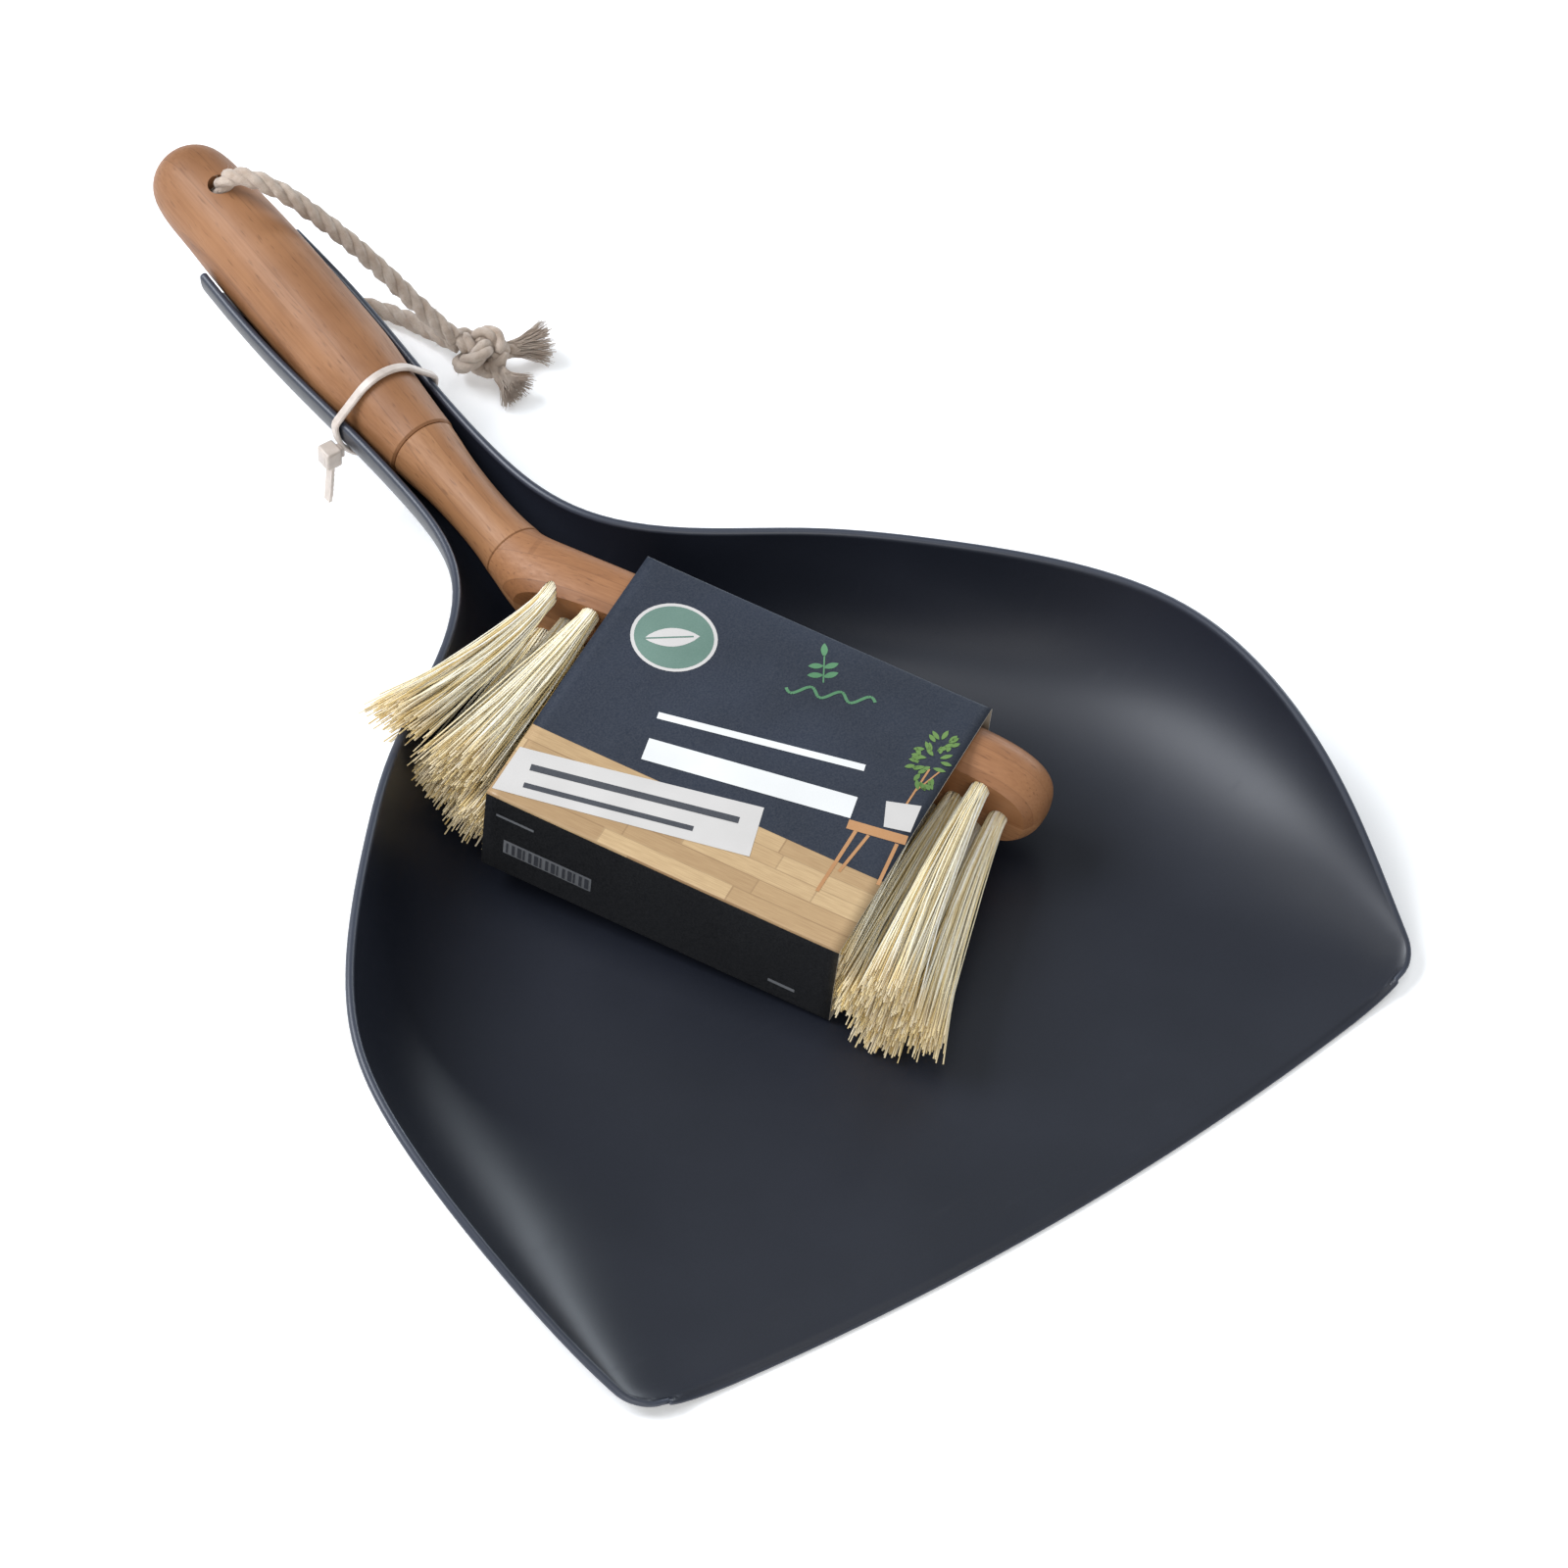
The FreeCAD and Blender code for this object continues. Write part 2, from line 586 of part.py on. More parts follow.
def cable_tie():
    y, tw, tt = dim("tie_y"), dim("tie_width"), dim("tie_thick")
    pts = []
    # grip section in this plane
    v = (dim("brush_station_y") - y) / math.cos(math.radians(PITCH))
    zc = dim("brush_station_z") - v * math.sin(math.radians(PITCH))
    rg = 10.85
    for k in range(48):
        a = 2 * math.pi * k / 48
        pts.append((round(rg * math.cos(a), 4), round(zc + rg * math.sin(a), 4)))
    for i in range(41):
        p = mid(y, i / 40.0)
        a, b = mid(y, max(i / 40.0 - 0.01, 0)), mid(y, min(i / 40.0 + 0.01, 1))
        d = (b - a)
        ln = math.hypot(d.x, d.z)
        nx, nz = d.z / ln, -d.x / ln
        h = wall(y) / 2 + 0.15
        pts.append((round(p.x + nx * h, 4), round(p.z + nz * h, 4)))
        pts.append((round(-p.x - nx * h, 4), round(p.z + nz * h, 4)))
    p = mid(y, 1.0)
    for k in range(13):
        a = math.pi * k / 12
        for sx in (-1, 1):
            pts.append((round(sx * (p.x + 1.3 * math.cos(a)), 4), round(p.z + 1.3 * math.sin(a), 4)))
    ring = hull(pts)
    loops = []
    for grow in (0.15, 0.15 + tt):
        n = len(ring)
        out = []
        for i in range(n):
            a, b, c = ring[i - 1], ring[i], ring[(i + 1) % n]
            e1 = (b[0] - a[0], b[1] - a[1])
            e2 = (c[0] - b[0], c[1] - b[1])
            n1 = (e1[1] / math.hypot(*e1), -e1[0] / math.hypot(*e1))
            n2 = (e2[1] / math.hypot(*e2), -e2[0] / math.hypot(*e2))
            m = (n1[0] + n2[0], n1[1] + n2[1])
            ml = math.hypot(*m)
            m = (m[0] / ml, m[1] / ml)
            k = grow / max(m[0] * n1[0] + m[1] * n1[1], 0.5)
            out.append(Vector(b[0] + m[0] * k, y - tw / 2, b[1] + m[1] * k))
        loops.append(Part.makePolygon(out + [out[0]]))
    face = Part.Face(loops[1]).cut(Part.Face(loops[0]))
    band = face.extrude(Vector(0, tw, 0))
    lock = Part.makeBox(4.4, 5.0, 5.4, Vector(-15.4 - 4.4, y - 2.5, 22.6))
    lock = lock.makeFillet(0.7, lock.Edges)
    # the lock sits against the band and the tail comes out of it downwards
    tail = Part.makeBox(1.0, tw, 13.5, Vector(-0.5, -tw / 2, -13.5))
    tail.Placement = Placement(Vector(-17.4, y, 23.2), Rotation(Vector(0, 1, 0), 4))
    web = Part.makeBox(3.2, tw, 2.4, Vector(-16.6, y - tw / 2, 24.2))
    return band.fuse([web, lock, tail]).removeSplitter()


feature("cable_tie", cable_tie())

# ---------------------------------------------------------------- hanging rope
ROPE_R = dim("rope_diameter") / 2
HOLE = to_world(Vector(0, dim("hang_hole_y"), 0))
UPPER = [(0.0, 253.8, 44.5), (0.2, 252.5, 54.0), (3.0, 245.6, 58.6), (9.6, 238.6, 55.0), (16.4, 231.8, 47.0),
         (23.6, 226.0, 37.5), (30.2, 219.6, 27.0), (35.6, 212.8, 17.8), (40.2, 206.6, 11.6)]
LOWER = [(0.0, 254.2, 36.0), (0.6, 255.0, 23.0), (6.5, 255.4, 11.5), (17.0, 250.6, 4.6), (28.5, 242.6, 2.7),
         (37.0, 231.6, 2.6), (41.0, 219.0, 3.8), (42.4, 208.0, 7.0)]


def rounded_path(points):
    """Straight runs joined by tangent arcs. Returns the wire and the radii."""
    p = [Vector(*q) for q in points]
    edges, radii = [], []
    start = p[0]
    for i in range(1, len(p) - 1):
        a, b = p[i] - p[i - 1], p[i + 1] - p[i]
        la, lb = a.Length, b.Length
        a.normalize()
        b.normalize()
        turn = math.acos(max(-1.0, min(1.0, a.dot(b))))
        cut = 0.45 * min(la, lb)
        radii.append(round(cut / math.tan(turn / 2), 1))
        q1, q2 = p[i] - a * cut, p[i] + b * cut
        bis = b - a
        bis.normalize()
        centre = p[i] + bis * (cut / math.tan(turn / 2) / math.cos(turn / 2))
        m = centre + (p[i] - centre).normalize() * (cut / math.tan(turn / 2))
        edges.append(Part.LineSegment(start, q1).toShape())
        edges.append(Part.Arc(q1, m, q2).toShape())
        start = q2
    edges.append(Part.LineSegment(start, p[-1]).toShape())
    return Part.Wire(edges), radii


def rope(label, points):
    path, radii = rounded_path(points)
    d = Vector(*points[1]) - Vector(*points[0])
    ring = Part.Wire([Part.Circle(Vector(*points[0]), d, ROPE_R).toShape()])
    solid = path.makePipeShell([ring], True, False)
    want = math.pi * ROPE_R ** 2 * path.Length
    print(label, "length %.1f" % path.Length, "radii", radii, "volume share %.4f" % (solid.Volume / want))
    if abs(solid.Volume / want - 1) > 0.01:
        raise RuntimeError(label + " has the wrong volume")
    return feature(label, solid)


rope("hang_rope_upper", UPPER)
rope("hang_rope_lower", LOWER)


TAIL_SPECS = [((48.2, 201.4, 6.2), (63.5, 197.8, 4.6), 2.4, 4.2), ((45.6, 197.2, 5.6), (46.8, 187.0, 4.2), 2.4, 3.9)]


def tail_shapes():
    out = []
    for start, end, r0, r1 in TAIL_SPECS:
        s, e = Vector(*start), Vector(*end)
        out.append(Part.makeCone(r0, r1, (e - s).Length, s, e - s))
    return out


TAILS = tail_shapes()
feature("rope_tails", Part.makeCompound(TAILS))

# the knot: the two rope runs end in sockets of their own size, and so do the two tails
knot = Part.makeSphere(7.7, Vector(44.4, 202.4, 8.0))
for route in (UPPER, LOWER):
    end, before = Vector(*route[-1]), Vector(*route[-2])
    run = (end - before).normalize()
    knot = knot.cut(Part.makeCylinder(ROPE_R + 0.03, 10.03, end - run * 10.0, run))
for tail in TAIL_SPECS:
    s, e = Vector(*tail[0]), Vector(*tail[1])
    run = (e - s).normalize()
    knot = knot.cut(Part.makeCone(tail[2] + 0.03, tail[3] + 0.03, (e - s).Length, s - run * 0.03, run))
feature("rope_knot", sorted(knot.Solids, key=lambda q: -q.Volume)[0])

# ---------------------------------------------------------------- checks and export
doc.recompute()
for o in doc.Objects:
    if "Invalid" in o.State or "Error" in o.State:
        raise RuntimeError("%s did not compute: %s" % (o.Name, o.State))
os.makedirs("parts", exist_ok=True)
for label, obj in parts:
    shape = obj.Shape
    if shape.isNull() or not shape.isValid() or not shape.Solids:
        raise RuntimeError("%s is not a valid solid" % label)
    for s in shape.Solids:
        if s.Volume <= 0:
            raise RuntimeError("%s has a solid with no volume" % label)
for label, obj in parts:
    shape = obj.Shape
    bb = shape.BoundBox
    print("%-20s solids %2d volume %9.1f  x %.1f..%.1f y %.1f..%.1f z %.2f..%.2f" % (
        label, len(shape.Solids), shape.Volume, bb.XMin, bb.XMax, bb.YMin, bb.YMax, bb.ZMin, bb.ZMax))
    shape.exportStep("parts/%s.step" % label)
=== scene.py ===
import math
import random
import bpy
import bmesh
from mathutils import Vector, Matrix, Euler


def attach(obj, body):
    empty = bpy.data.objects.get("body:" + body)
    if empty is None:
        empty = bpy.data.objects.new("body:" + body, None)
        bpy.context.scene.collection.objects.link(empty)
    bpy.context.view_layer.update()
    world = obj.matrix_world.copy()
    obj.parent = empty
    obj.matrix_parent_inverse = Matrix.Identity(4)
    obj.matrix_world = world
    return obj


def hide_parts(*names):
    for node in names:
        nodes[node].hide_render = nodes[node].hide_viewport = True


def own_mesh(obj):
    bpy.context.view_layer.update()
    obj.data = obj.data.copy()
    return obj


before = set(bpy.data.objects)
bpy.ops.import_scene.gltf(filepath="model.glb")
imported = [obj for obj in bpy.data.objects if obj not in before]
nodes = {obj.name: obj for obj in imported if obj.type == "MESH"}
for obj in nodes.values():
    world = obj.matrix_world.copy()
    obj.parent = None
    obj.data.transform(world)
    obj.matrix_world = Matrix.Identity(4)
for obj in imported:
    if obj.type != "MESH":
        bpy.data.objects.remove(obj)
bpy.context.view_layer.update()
MM = 0.001
D2R = math.pi / 180

# ------------------------------------------------------------------ camera
AZ, EL, ROLL = -38.701 * D2R, 48.794 * D2R, 2.948 * D2R
target = Vector((0.0255, 0.04392, 0.0))
back = Vector((math.sin(AZ) * math.cos(EL), -math.cos(AZ) * math.cos(EL), math.sin(EL)))
right = Vector((math.cos(AZ), math.sin(AZ), 0.0))
up = back.cross(right)
R = right * math.cos(ROLL) + up * math.sin(ROLL)
U = right * -math.sin(ROLL) + up * math.cos(ROLL)
C = target + back * 1.5548
cam_data = bpy.data.cameras.new("camera")
cam_data.sensor_width = 36.0
cam_data.lens = 146.0
cam_data.clip_start = 0.05
cam_data.clip_end = 20.0
cam = bpy.data.objects.new("camera", cam_data)
bpy.context.scene.collection.objects.link(cam)
cam.matrix_world = Matrix(((R.x, U.x, back.x, C.x), (R.y, U.y, back.y, C.y), (R.z, U.z, back.z, C.z), (0, 0, 0, 1)))
bpy.context.scene.camera = cam

# ------------------------------------------------------------------ small helpers
BRUSH = Matrix.Translation(Vector((0, 0.210, 0.0363))) @ Matrix.Rotation(4.8 * D2R, 4, "X")
YAW = -62.8 * D2R
A_DIR = Vector((math.cos(YAW), math.sin(YAW), 0))
B_DIR = Vector((A_DIR.y, -A_DIR.x, 0))
SLEEVE_C = Vector((4.2, -175.4, 0))
FACE_B = -23.0


def to_world(p):
    """brush frame in mm to row frame in metres"""
    return BRUSH @ (Vector(p) * MM)


def on_head(a, b, w):
    return SLEEVE_C + A_DIR * a + B_DIR * b + Vector((0, 0, w))


def smooth(a, b, x):
    t = min(max((x - a) / (b - a), 0.0), 1.0)
    return t * t * t * (t * (6 * t - 15) + 10)


def mesh_object(name, verts, faces, material=None, smooth_shade=True):
    me = bpy.data.meshes.new(name)
    me.from_pydata([tuple(v) for v in verts], [], faces)
    me.update()
    if smooth_shade:
        for p in me.polygons:
            p.use_smooth = True
    ob = bpy.data.objects.new(name, me)
    bpy.context.scene.collection.objects.link(ob)
    if material is not None:
        me.materials.append(material)
    return ob


def spline(xs, ys):
    n = len(xs)
    hh = [xs[i + 1] - xs[i] for i in range(n - 1)]
    al = [0.0] * n
    for i in range(1, n - 1):
        al[i] = 3 * ((ys[i + 1] - ys[i]) / hh[i] - (ys[i] - ys[i - 1]) / hh[i - 1])
    lo, mu, zz = [1.0] * n, [0.0] * n, [0.0] * n
    for i in range(1, n - 1):
        lo[i] = 2 * (xs[i + 1] - xs[i - 1]) - hh[i - 1] * mu[i - 1]
        mu[i] = hh[i] / lo[i]
        zz[i] = (al[i] - hh[i - 1] * zz[i - 1]) / lo[i]
    c, b, d = [0.0] * n, [0.0] * n, [0.0] * n
    for j in range(n - 2, -1, -1):
        c[j] = zz[j] - mu[j] * c[j + 1]
        b[j] = (ys[j + 1] - ys[j]) / hh[j] - hh[j] * (c[j + 1] + 2 * c[j]) / 3
        d[j] = (c[j + 1] - c[j]) / (3 * hh[j])

    def f(x):
        x = min(max(x, xs[0]), xs[-1])
        j = 0
        while j < n - 2 and x > xs[j + 1]:
            j += 1
        t = x - xs[j]
        return ys[j] + b[j] * t + c[j] * t * t + d[j] * t ** 3

    return f


def frames_along(points):
    """Parallel-transported frames along a polyline: (point, tangent, normal, binormal)."""
    out = []
    n = len(points)
    tans = []
    for i in range(n):
        a = points[max(i - 1, 0)]
        b = points[min(i + 1, n - 1)]
        tans.append((b - a).normalized())
    ref = Vector((0, 0, 1)) if abs(tans[0].z) < 0.9 else Vector((1, 0, 0))
    nor = tans[0].cross(ref).normalized()
    for i in range(n):
        nor = (nor - tans[i] * nor.dot(tans[i])).normalized()
        out.append((points[i], tans[i], nor, tans[i].cross(nor)))
    return out


def add_tube(verts, faces, points, radii, sides=6, cap=True):
    base = len(verts)
    fr = frames_along(points)
    for (p, t, n, b), r in zip(fr, radii):
        for k in range(sides):
            g = 2 * math.pi * k / sides
            verts.append(p + n * (r * math.cos(g)) + b * (r * math.sin(g)))
    for i in range(len(points) - 1):
        for k in range(sides):
            k2 = (k + 1) % sides
            faces.append((base + i * sides + k, base + i * sides + k2, base + (i + 1) * sides + k2, base + (i + 1) * sides + k))
    if cap:
        faces.append(tuple(base + k for k in range(sides))[::-1])
        last = base + (len(points) - 1) * sides
        faces.append(tuple(last + k for k in range(sides)))


# ------------------------------------------------------------------ pan surface law (as in the CAD)
RIM_Y = [-112, -91, -51, -15, 15, 41.6, 64.7, 84.6, 101, 114.3, 131, 151, 174, 197, 220, 240]
RIM_W = [107.5, 113.7, 123.4, 125.7, 119.3, 102.0, 81.2, 59.6, 36.6, 22.9, 14.9, 12.6, 12.8, 14.0, 14.6, 14.0]
RIM_Z = [1.2, 3.2, 19.3, 30.4, 34.4, 35.5, 34.9, 33.8, 33.4, 33.6, 33.8, 33.9, 34.4, 35.1, 36.0, 37.0]
BOT_Y = [-112, -50, 0, 45, 58, 70, 84.6, 96, 106, 118, 131, 151, 174, 197, 220, 240]
BOT_Z = [0.0, 0.0, 0.0, 0.0, 0.15, 0.9, 3.0, 6.0, 9.6, 14.0, 17.6, 19.3, 19.9, 20.6, 22.0, 23.2]
rim_w = spline(RIM_Y, RIM_W)
rim_z = spline(RIM_Y, RIM_Z)
bot_raw = spline(BOT_Y, BOT_Z)
WALL, LIP = 2.2, 1.3


def bot(y):
    return (0.0 if y < 46 else max(bot_raw(y), 0.0)) - 0.2


def wall(y):
    return LIP + (WALL - LIP) * smooth(-101, -76, y)


def bowl(f, s):
    s0 = 0.36
    if s <= s0:
        return f * s / s0, 0.0
    u = (s - s0) / (1 - s0)
    p1, p2 = f + (1 - f) * 0.50, f + (1 - f) * 0.86
    x = f * (1 - u) ** 3 + 3 * p1 * u * (1 - u) ** 2 + 3 * p2 * u * u * (1 - u) + u ** 3
    z = 3 * 0.14 * u * u * (1 - u) + u ** 3
    return x, z


def mid(y, s, w=None):
    beta = 1 - smooth(52, 132, y)
    front = 1 - smooth(-100, -30, y)
    hx, hz = math.sin(math.pi * s / 2), 1 - math.cos(math.pi * s / 2)
    bx, bz = bowl(0.46 + 0.26 * front, s)
    fx, fz = (1 - beta) * hx + beta * bx, (1 - beta) * hz + beta * bz
    low = bot(y) + wall(y) / 2
    return Vector(((rim_w(y) if w is None else w) * fx, y, low + (rim_z(y) - low) * fz))


def inside_height(x, y):
    """Top of the pan under a point, in mm; 0 well outside it."""
    x = abs(x)
    if y > 240 or y < -100 or x > rim_w(y) + 2.5:
        return 0.0
    if x >= rim_w(y) - 0.5:
        return rim_z(y) + 1.2
    lo, hi = 0.0, 1.0
    for _ in range(18):
        m = (lo + hi) / 2
        if mid(y, m).x < x:
            lo = m
        else:
            hi = m
    s = (lo + hi) / 2
    a, b = mid(y, max(s - 0.01, 0)), mid(y, min(s + 0.01, 1))
    d = b - a
    ln = math.hypot(d.x, d.z)
    return mid(y, s).z + wall(y) / 2 * ln / max(abs(d.x), 0.25 * ln)


# ------------------------------------------------------------------ materials
def new_material(name):
    m = bpy.data.materials.new(name)
    m.use_nodes = True
    nt = m.node_tree
    nt.nodes.clear()
    out = nt.nodes.new("ShaderNodeOutputMaterial")
    bs = nt.nodes.new("ShaderNodeBsdfPrincipled")
    nt.links.new(bs.outputs["BSDF"], out.inputs["Surface"])
    return m, nt, bs


def srgb(r, g, b):
    def f(c):
        c /= 255.0
        return c / 12.92 if c <= 0.04045 else ((c + 0.055) / 1.055) ** 2.4
    return (f(r), f(g), f(b), 1.0)


class N:
    """Short-hand for building node trees."""

    def __init__(self, nt):
        self.nt = nt

    def add(self, kind, **props):
        n = self.nt.nodes.new(kind)
        for k, v in props.items():
            setattr(n, k, v)
        return n

    def link(self, a, b):
        self.nt.links.new(a, b)

    def math(self, op, a, b=None, clamp=False):
        n = self.add("ShaderNodeMath", operation=op, use_clamp=clamp)
        for i, v in enumerate((a, b)):
            if v is None:
                continue
            if isinstance(v, (int, float)):
                n.inputs[i].default_value = v
            else:
                self.link(v, n.inputs[i])
        return n.outputs[0]

    def noise(self, vec, scale, detail=3.0, rough=0.5, dims="3D"):
        n = self.add("ShaderNodeTexNoise", noise_dimensions=dims)
        n.inputs["Scale"].default_value = scale
        n.inputs["Detail"].default_value = detail
        n.inputs["Roughness"].default_value = rough
        if vec is not None:
            self.link(vec, n.inputs["Vector"])
        return n.outputs["Fac"]

    def ramp(self, fac, stops, interp="LINEAR"):
        n = self.add("ShaderNodeValToRGB")
        n.color_ramp.interpolation = interp
        el = n.color_ramp.elements
        while len(el) < len(stops):
            el.new(0.5)
        for e, (pos, col) in zip(el, stops):
            e.position = pos
            e.color = col if len(col) == 4 else (*col, 1.0)
        self.link(fac, n.inputs["Fac"])
        return n.outputs["Color"]

    def mix(self, fac, a, b, blend="MIX"):
        n = self.add("ShaderNodeMix", data_type="RGBA", blend_type=blend)
        for sock, v in ((n.inputs["Factor"], fac), (n.inputs["A"], a), (n.inputs["B"], b)):
            pass
        socks = {"f": n.inputs[0], "a": n.inputs[6], "b": n.inputs[7]}
        for key, v in (("f", fac), ("a", a), ("b", b)):
            if isinstance(v, (int, float)):
                socks[key].default_value = v
            elif isinstance(v, tuple):
                socks[key].default_value = v
            else:
                self.link(v, socks[key])
        return n.outputs[2]

    def maprange(self, v, a, b, c, d):
        n = self.add("ShaderNodeMapRange")
        n.inputs["From Min"].default_value = a
        n.inputs["From Max"].default_value = b
        n.inputs["To Min"].default_value = c
        n.inputs["To Max"].default_value = d
        self.link(v, n.inputs["Value"])
        return n.outputs["Result"]

    def bump(self, height, strength, distance, normal=None):
        n = self.add("ShaderNodeBump")
        n.inputs["Strength"].default_value = strength
        n.inputs["Distance"].default_value = distance
        self.link(height, n.inputs["Height"])
        if normal is not None:
            self.link(normal, n.inputs["Normal"])
        return n.outputs["Normal"]


def pan_material():
    m, nt, bs = new_material("pan_plastic_look")
    k = N(nt)
    tc = k.add("ShaderNodeTexCoord").outputs["Object"]
    cloud = k.noise(tc, 14.0, 3.0, 0.55)
    col = k.ramp(cloud, [(0.3, srgb(21, 24, 32)), (0.7, srgb(25, 28, 38))])
    fine = k.noise(tc, 2600.0, 2.0, 0.6)
    col = k.mix(k.maprange(fine, 0.35, 0.65, 0.0, 0.12), col, srgb(42, 47, 60))
    geo = k.add("ShaderNodeNewGeometry")
    # painted highlight: convex spots, mostly the rounded rim edges, are lightened towards pale blue-grey in place of
    # their satin highlight
    edge = k.maprange(geo.outputs["Pointiness"], 0.515, 0.58, 0.0, 0.55)
    col = k.mix(edge, col, srgb(75, 81, 96))
    nt.links.new(col, bs.inputs["Base Color"])
    # faint scuffs from handling
    mp = k.add("ShaderNodeMapping")
    mp.inputs["Rotation"].default_value = (0, 0, 0.7)
    mp.inputs["Scale"].default_value = (1.0, 7.0, 1.0)
    k.link(tc, mp.inputs["Vector"])
    scuff = k.noise(mp.outputs["Vector"], 60.0, 5.0, 0.65)
    r1 = k.maprange(cloud, 0.3, 0.7, 0.36, 0.43)
    r2 = k.math("ADD", r1, k.maprange(scuff, 0.62, 0.78, 0.0, 0.10))
    k.link(r2, bs.inputs["Roughness"])
    bs.inputs["Specular IOR Level"].default_value = 0.5
    nrm = k.bump(fine, 0.10, 0.00006)
    nrm = k.bump(k.noise(tc, 420.0, 2.0, 0.5), 0.05, 0.0001, nrm)
    k.link(nrm, bs.inputs["Normal"])
    return m


def bamboo_material(name, rot, loc, tone, strip=0.0063, seed=0.0):
    m, nt, bs = new_material(name)
    k = N(nt)
    tc = k.add("ShaderNodeTexCoord").outputs["Object"]
    mp = k.add("ShaderNodeMapping", vector_type="TEXTURE")
    mp.inputs["Location"].default_value = loc
    mp.inputs["Rotation"].default_value = rot
    k.link(tc, mp.inputs["Vector"])
    sep = k.add("ShaderNodeSeparateXYZ")
    k.link(mp.outputs["Vector"], sep.inputs[0])
    # strips side by side across x, wandering slightly along the length, with two glued layers in z
    wander = k.noise(mp.outputs["Vector"], 9.0, 1.0, 0.5)
    xs = k.math("ADD", sep.outputs["X"], k.math("MULTIPLY", k.math("SUBTRACT", wander, 0.5), 0.0012))
    layer = k.math("GREATER_THAN", sep.outputs["Z"], -0.0005)
    u = k.math("ADD", k.math("DIVIDE", xs, strip), k.math("MULTIPLY", layer, 0.43))
    u = k.math("ADD", u, 20.37 + seed)
    idx = k.math("FLOOR", u)
    wn = k.add("ShaderNodeTexWhiteNoise", noise_dimensions="2D")
    cmb = k.add("ShaderNodeCombineXYZ")
    k.link(idx, cmb.inputs[0])
    k.link(layer, cmb.inputs[1])
    k.link(cmb.outputs[0], wn.inputs["Vector"])
    light, midc, dark = tone
    col = k.ramp(wn.outputs["Value"], [(0.0, dark), (0.45, midc), (1.0, light)])
    fr = k.math("FRACT", u)
    line = k.math("LESS_THAN", k.math("MINIMUM", fr, k.math("SUBTRACT", 1.0, fr)), 0.022)
    col = k.mix(k.math("MULTIPLY", line, 0.40), col, srgb(92, 56, 34))
    # fibre grain, long along y
    st = k.add("ShaderNodeMapping")
    st.inputs["Scale"].default_value = (1.0, 0.022, 1.0)
    k.link(mp.outputs["Vector"], st.inputs["Vector"])
    grain = k.noise(st.outputs["Vector"], 1500.0, 4.0, 0.62)
    col = k.mix(k.maprange(grain, 0.3, 0.7, 0.0, 0.50), col, srgb(112, 70, 40))
    cloud = k.noise(mp.outputs["Vector"], 38.0, 3.0, 0.5)
    col = k.mix(k.maprange(cloud, 0.35, 0.7, 0.0, 0.34), col, srgb(176, 128, 90))
    # short dark vascular dashes
    st2 = k.add("ShaderNodeMapping")
    st2.inputs["Scale"].default_value = (1.0, 0.10, 1.0)
    k.link(mp.outputs["Vector"], st2.inputs["Vector"])
    dash = k.noise(st2.outputs["Vector"], 1900.0, 1.5, 0.45)
    col = k.mix(k.maprange(dash, 0.62, 0.72, 0.0, 0.40), col, srgb(84, 48, 28))
    # bamboo nodes: a darker band across here and there
    wv = k.add("ShaderNodeTexWhiteNoise", noise_dimensions="1D")
    k.link(k.math("ADD", idx, 3.7 + seed), wv.inputs["W"])
    pos = k.math("SUBTRACT", k.math("FRACT", k.math("ADD", k.math("DIVIDE", sep.outputs["Y"], 0.21), wv.outputs["Value"])), 0.5)
    band = k.math("LESS_THAN", k.math("ABSOLUTE", pos), 0.0035)
    col = k.mix(k.math("MULTIPLY", band, 0.35), col, srgb(120, 78, 48))
    k.link(col, bs.inputs["Base Color"])
    k.link(k.maprange(grain, 0.3, 0.7, 0.48, 0.62), bs.inputs["Roughness"])
    bs.inputs["Specular IOR Level"].default_value = 0.32
    bs.inputs["Coat Weight"].default_value = 0.05
    bs.inputs["Coat Roughness"].default_value = 0.30
    nrm = k.bump(grain, 0.22, 0.00008)
    nrm = k.bump(k.math("SUBTRACT", 1.0, k.maprange(dash, 0.66, 0.74, 0.0, 1.0)), 0.2, 0.00006, nrm)
    k.link(nrm, bs.inputs["Normal"])
    return m


def fibre_material():
    m, nt, bs = new_material("fibre_look")
    k = N(nt)
    at = k.add("ShaderNodeAttribute", attribute_name="tone")
    sep = k.add("ShaderNodeSeparateColor")
    k.link(at.outputs["Color"], sep.inputs[0])
    # red: tone of the fibre, green: how far along it
    base = k.ramp(sep.outputs[0], [(0.0, srgb(208, 179, 116)), (0.28, srgb(237, 219, 171)), (0.62, srgb(251, 244, 221)), (1.0, srgb(255, 253, 245))])
    col = k.mix(k.maprange(sep.outputs[1], 0.86, 1.0, 0.0, 0.58), base, srgb(218, 188, 122))
    # painted shade: the fibres are darkened at the root and just past the head face, where they crowd against the head
    col = k.mix(k.maprange(sep.outputs[1], 0.0, 0.16, 0.35, 0.0), col, srgb(176, 146, 92))
    tc = k.add("ShaderNodeTexCoord").outputs["Object"]
    mott = k.noise(tc, 700.0, 2.0, 0.5)
    col = k.mix(k.maprange(mott, 0.4, 0.7, 0.0, 0.18), col, srgb(186, 160, 108))
    k.link(col, bs.inputs["Base Color"])
    k.link(k.maprange(mott, 0.3, 0.7, 0.42, 0.58), bs.inputs["Roughness"])
    bs.inputs["Specular IOR Level"].default_value = 0.4
    bs.inputs["Subsurface Weight"].default_value = 0.0
    bs.inputs["Subsurface Radius"].default_value = (0.0012, 0.0008, 0.0004)
    bs.inputs["Subsurface Scale"].default_value = 0.3
    k.link(k.bump(mott, 0.15, 0.00004), bs.inputs["Normal"])
    return m


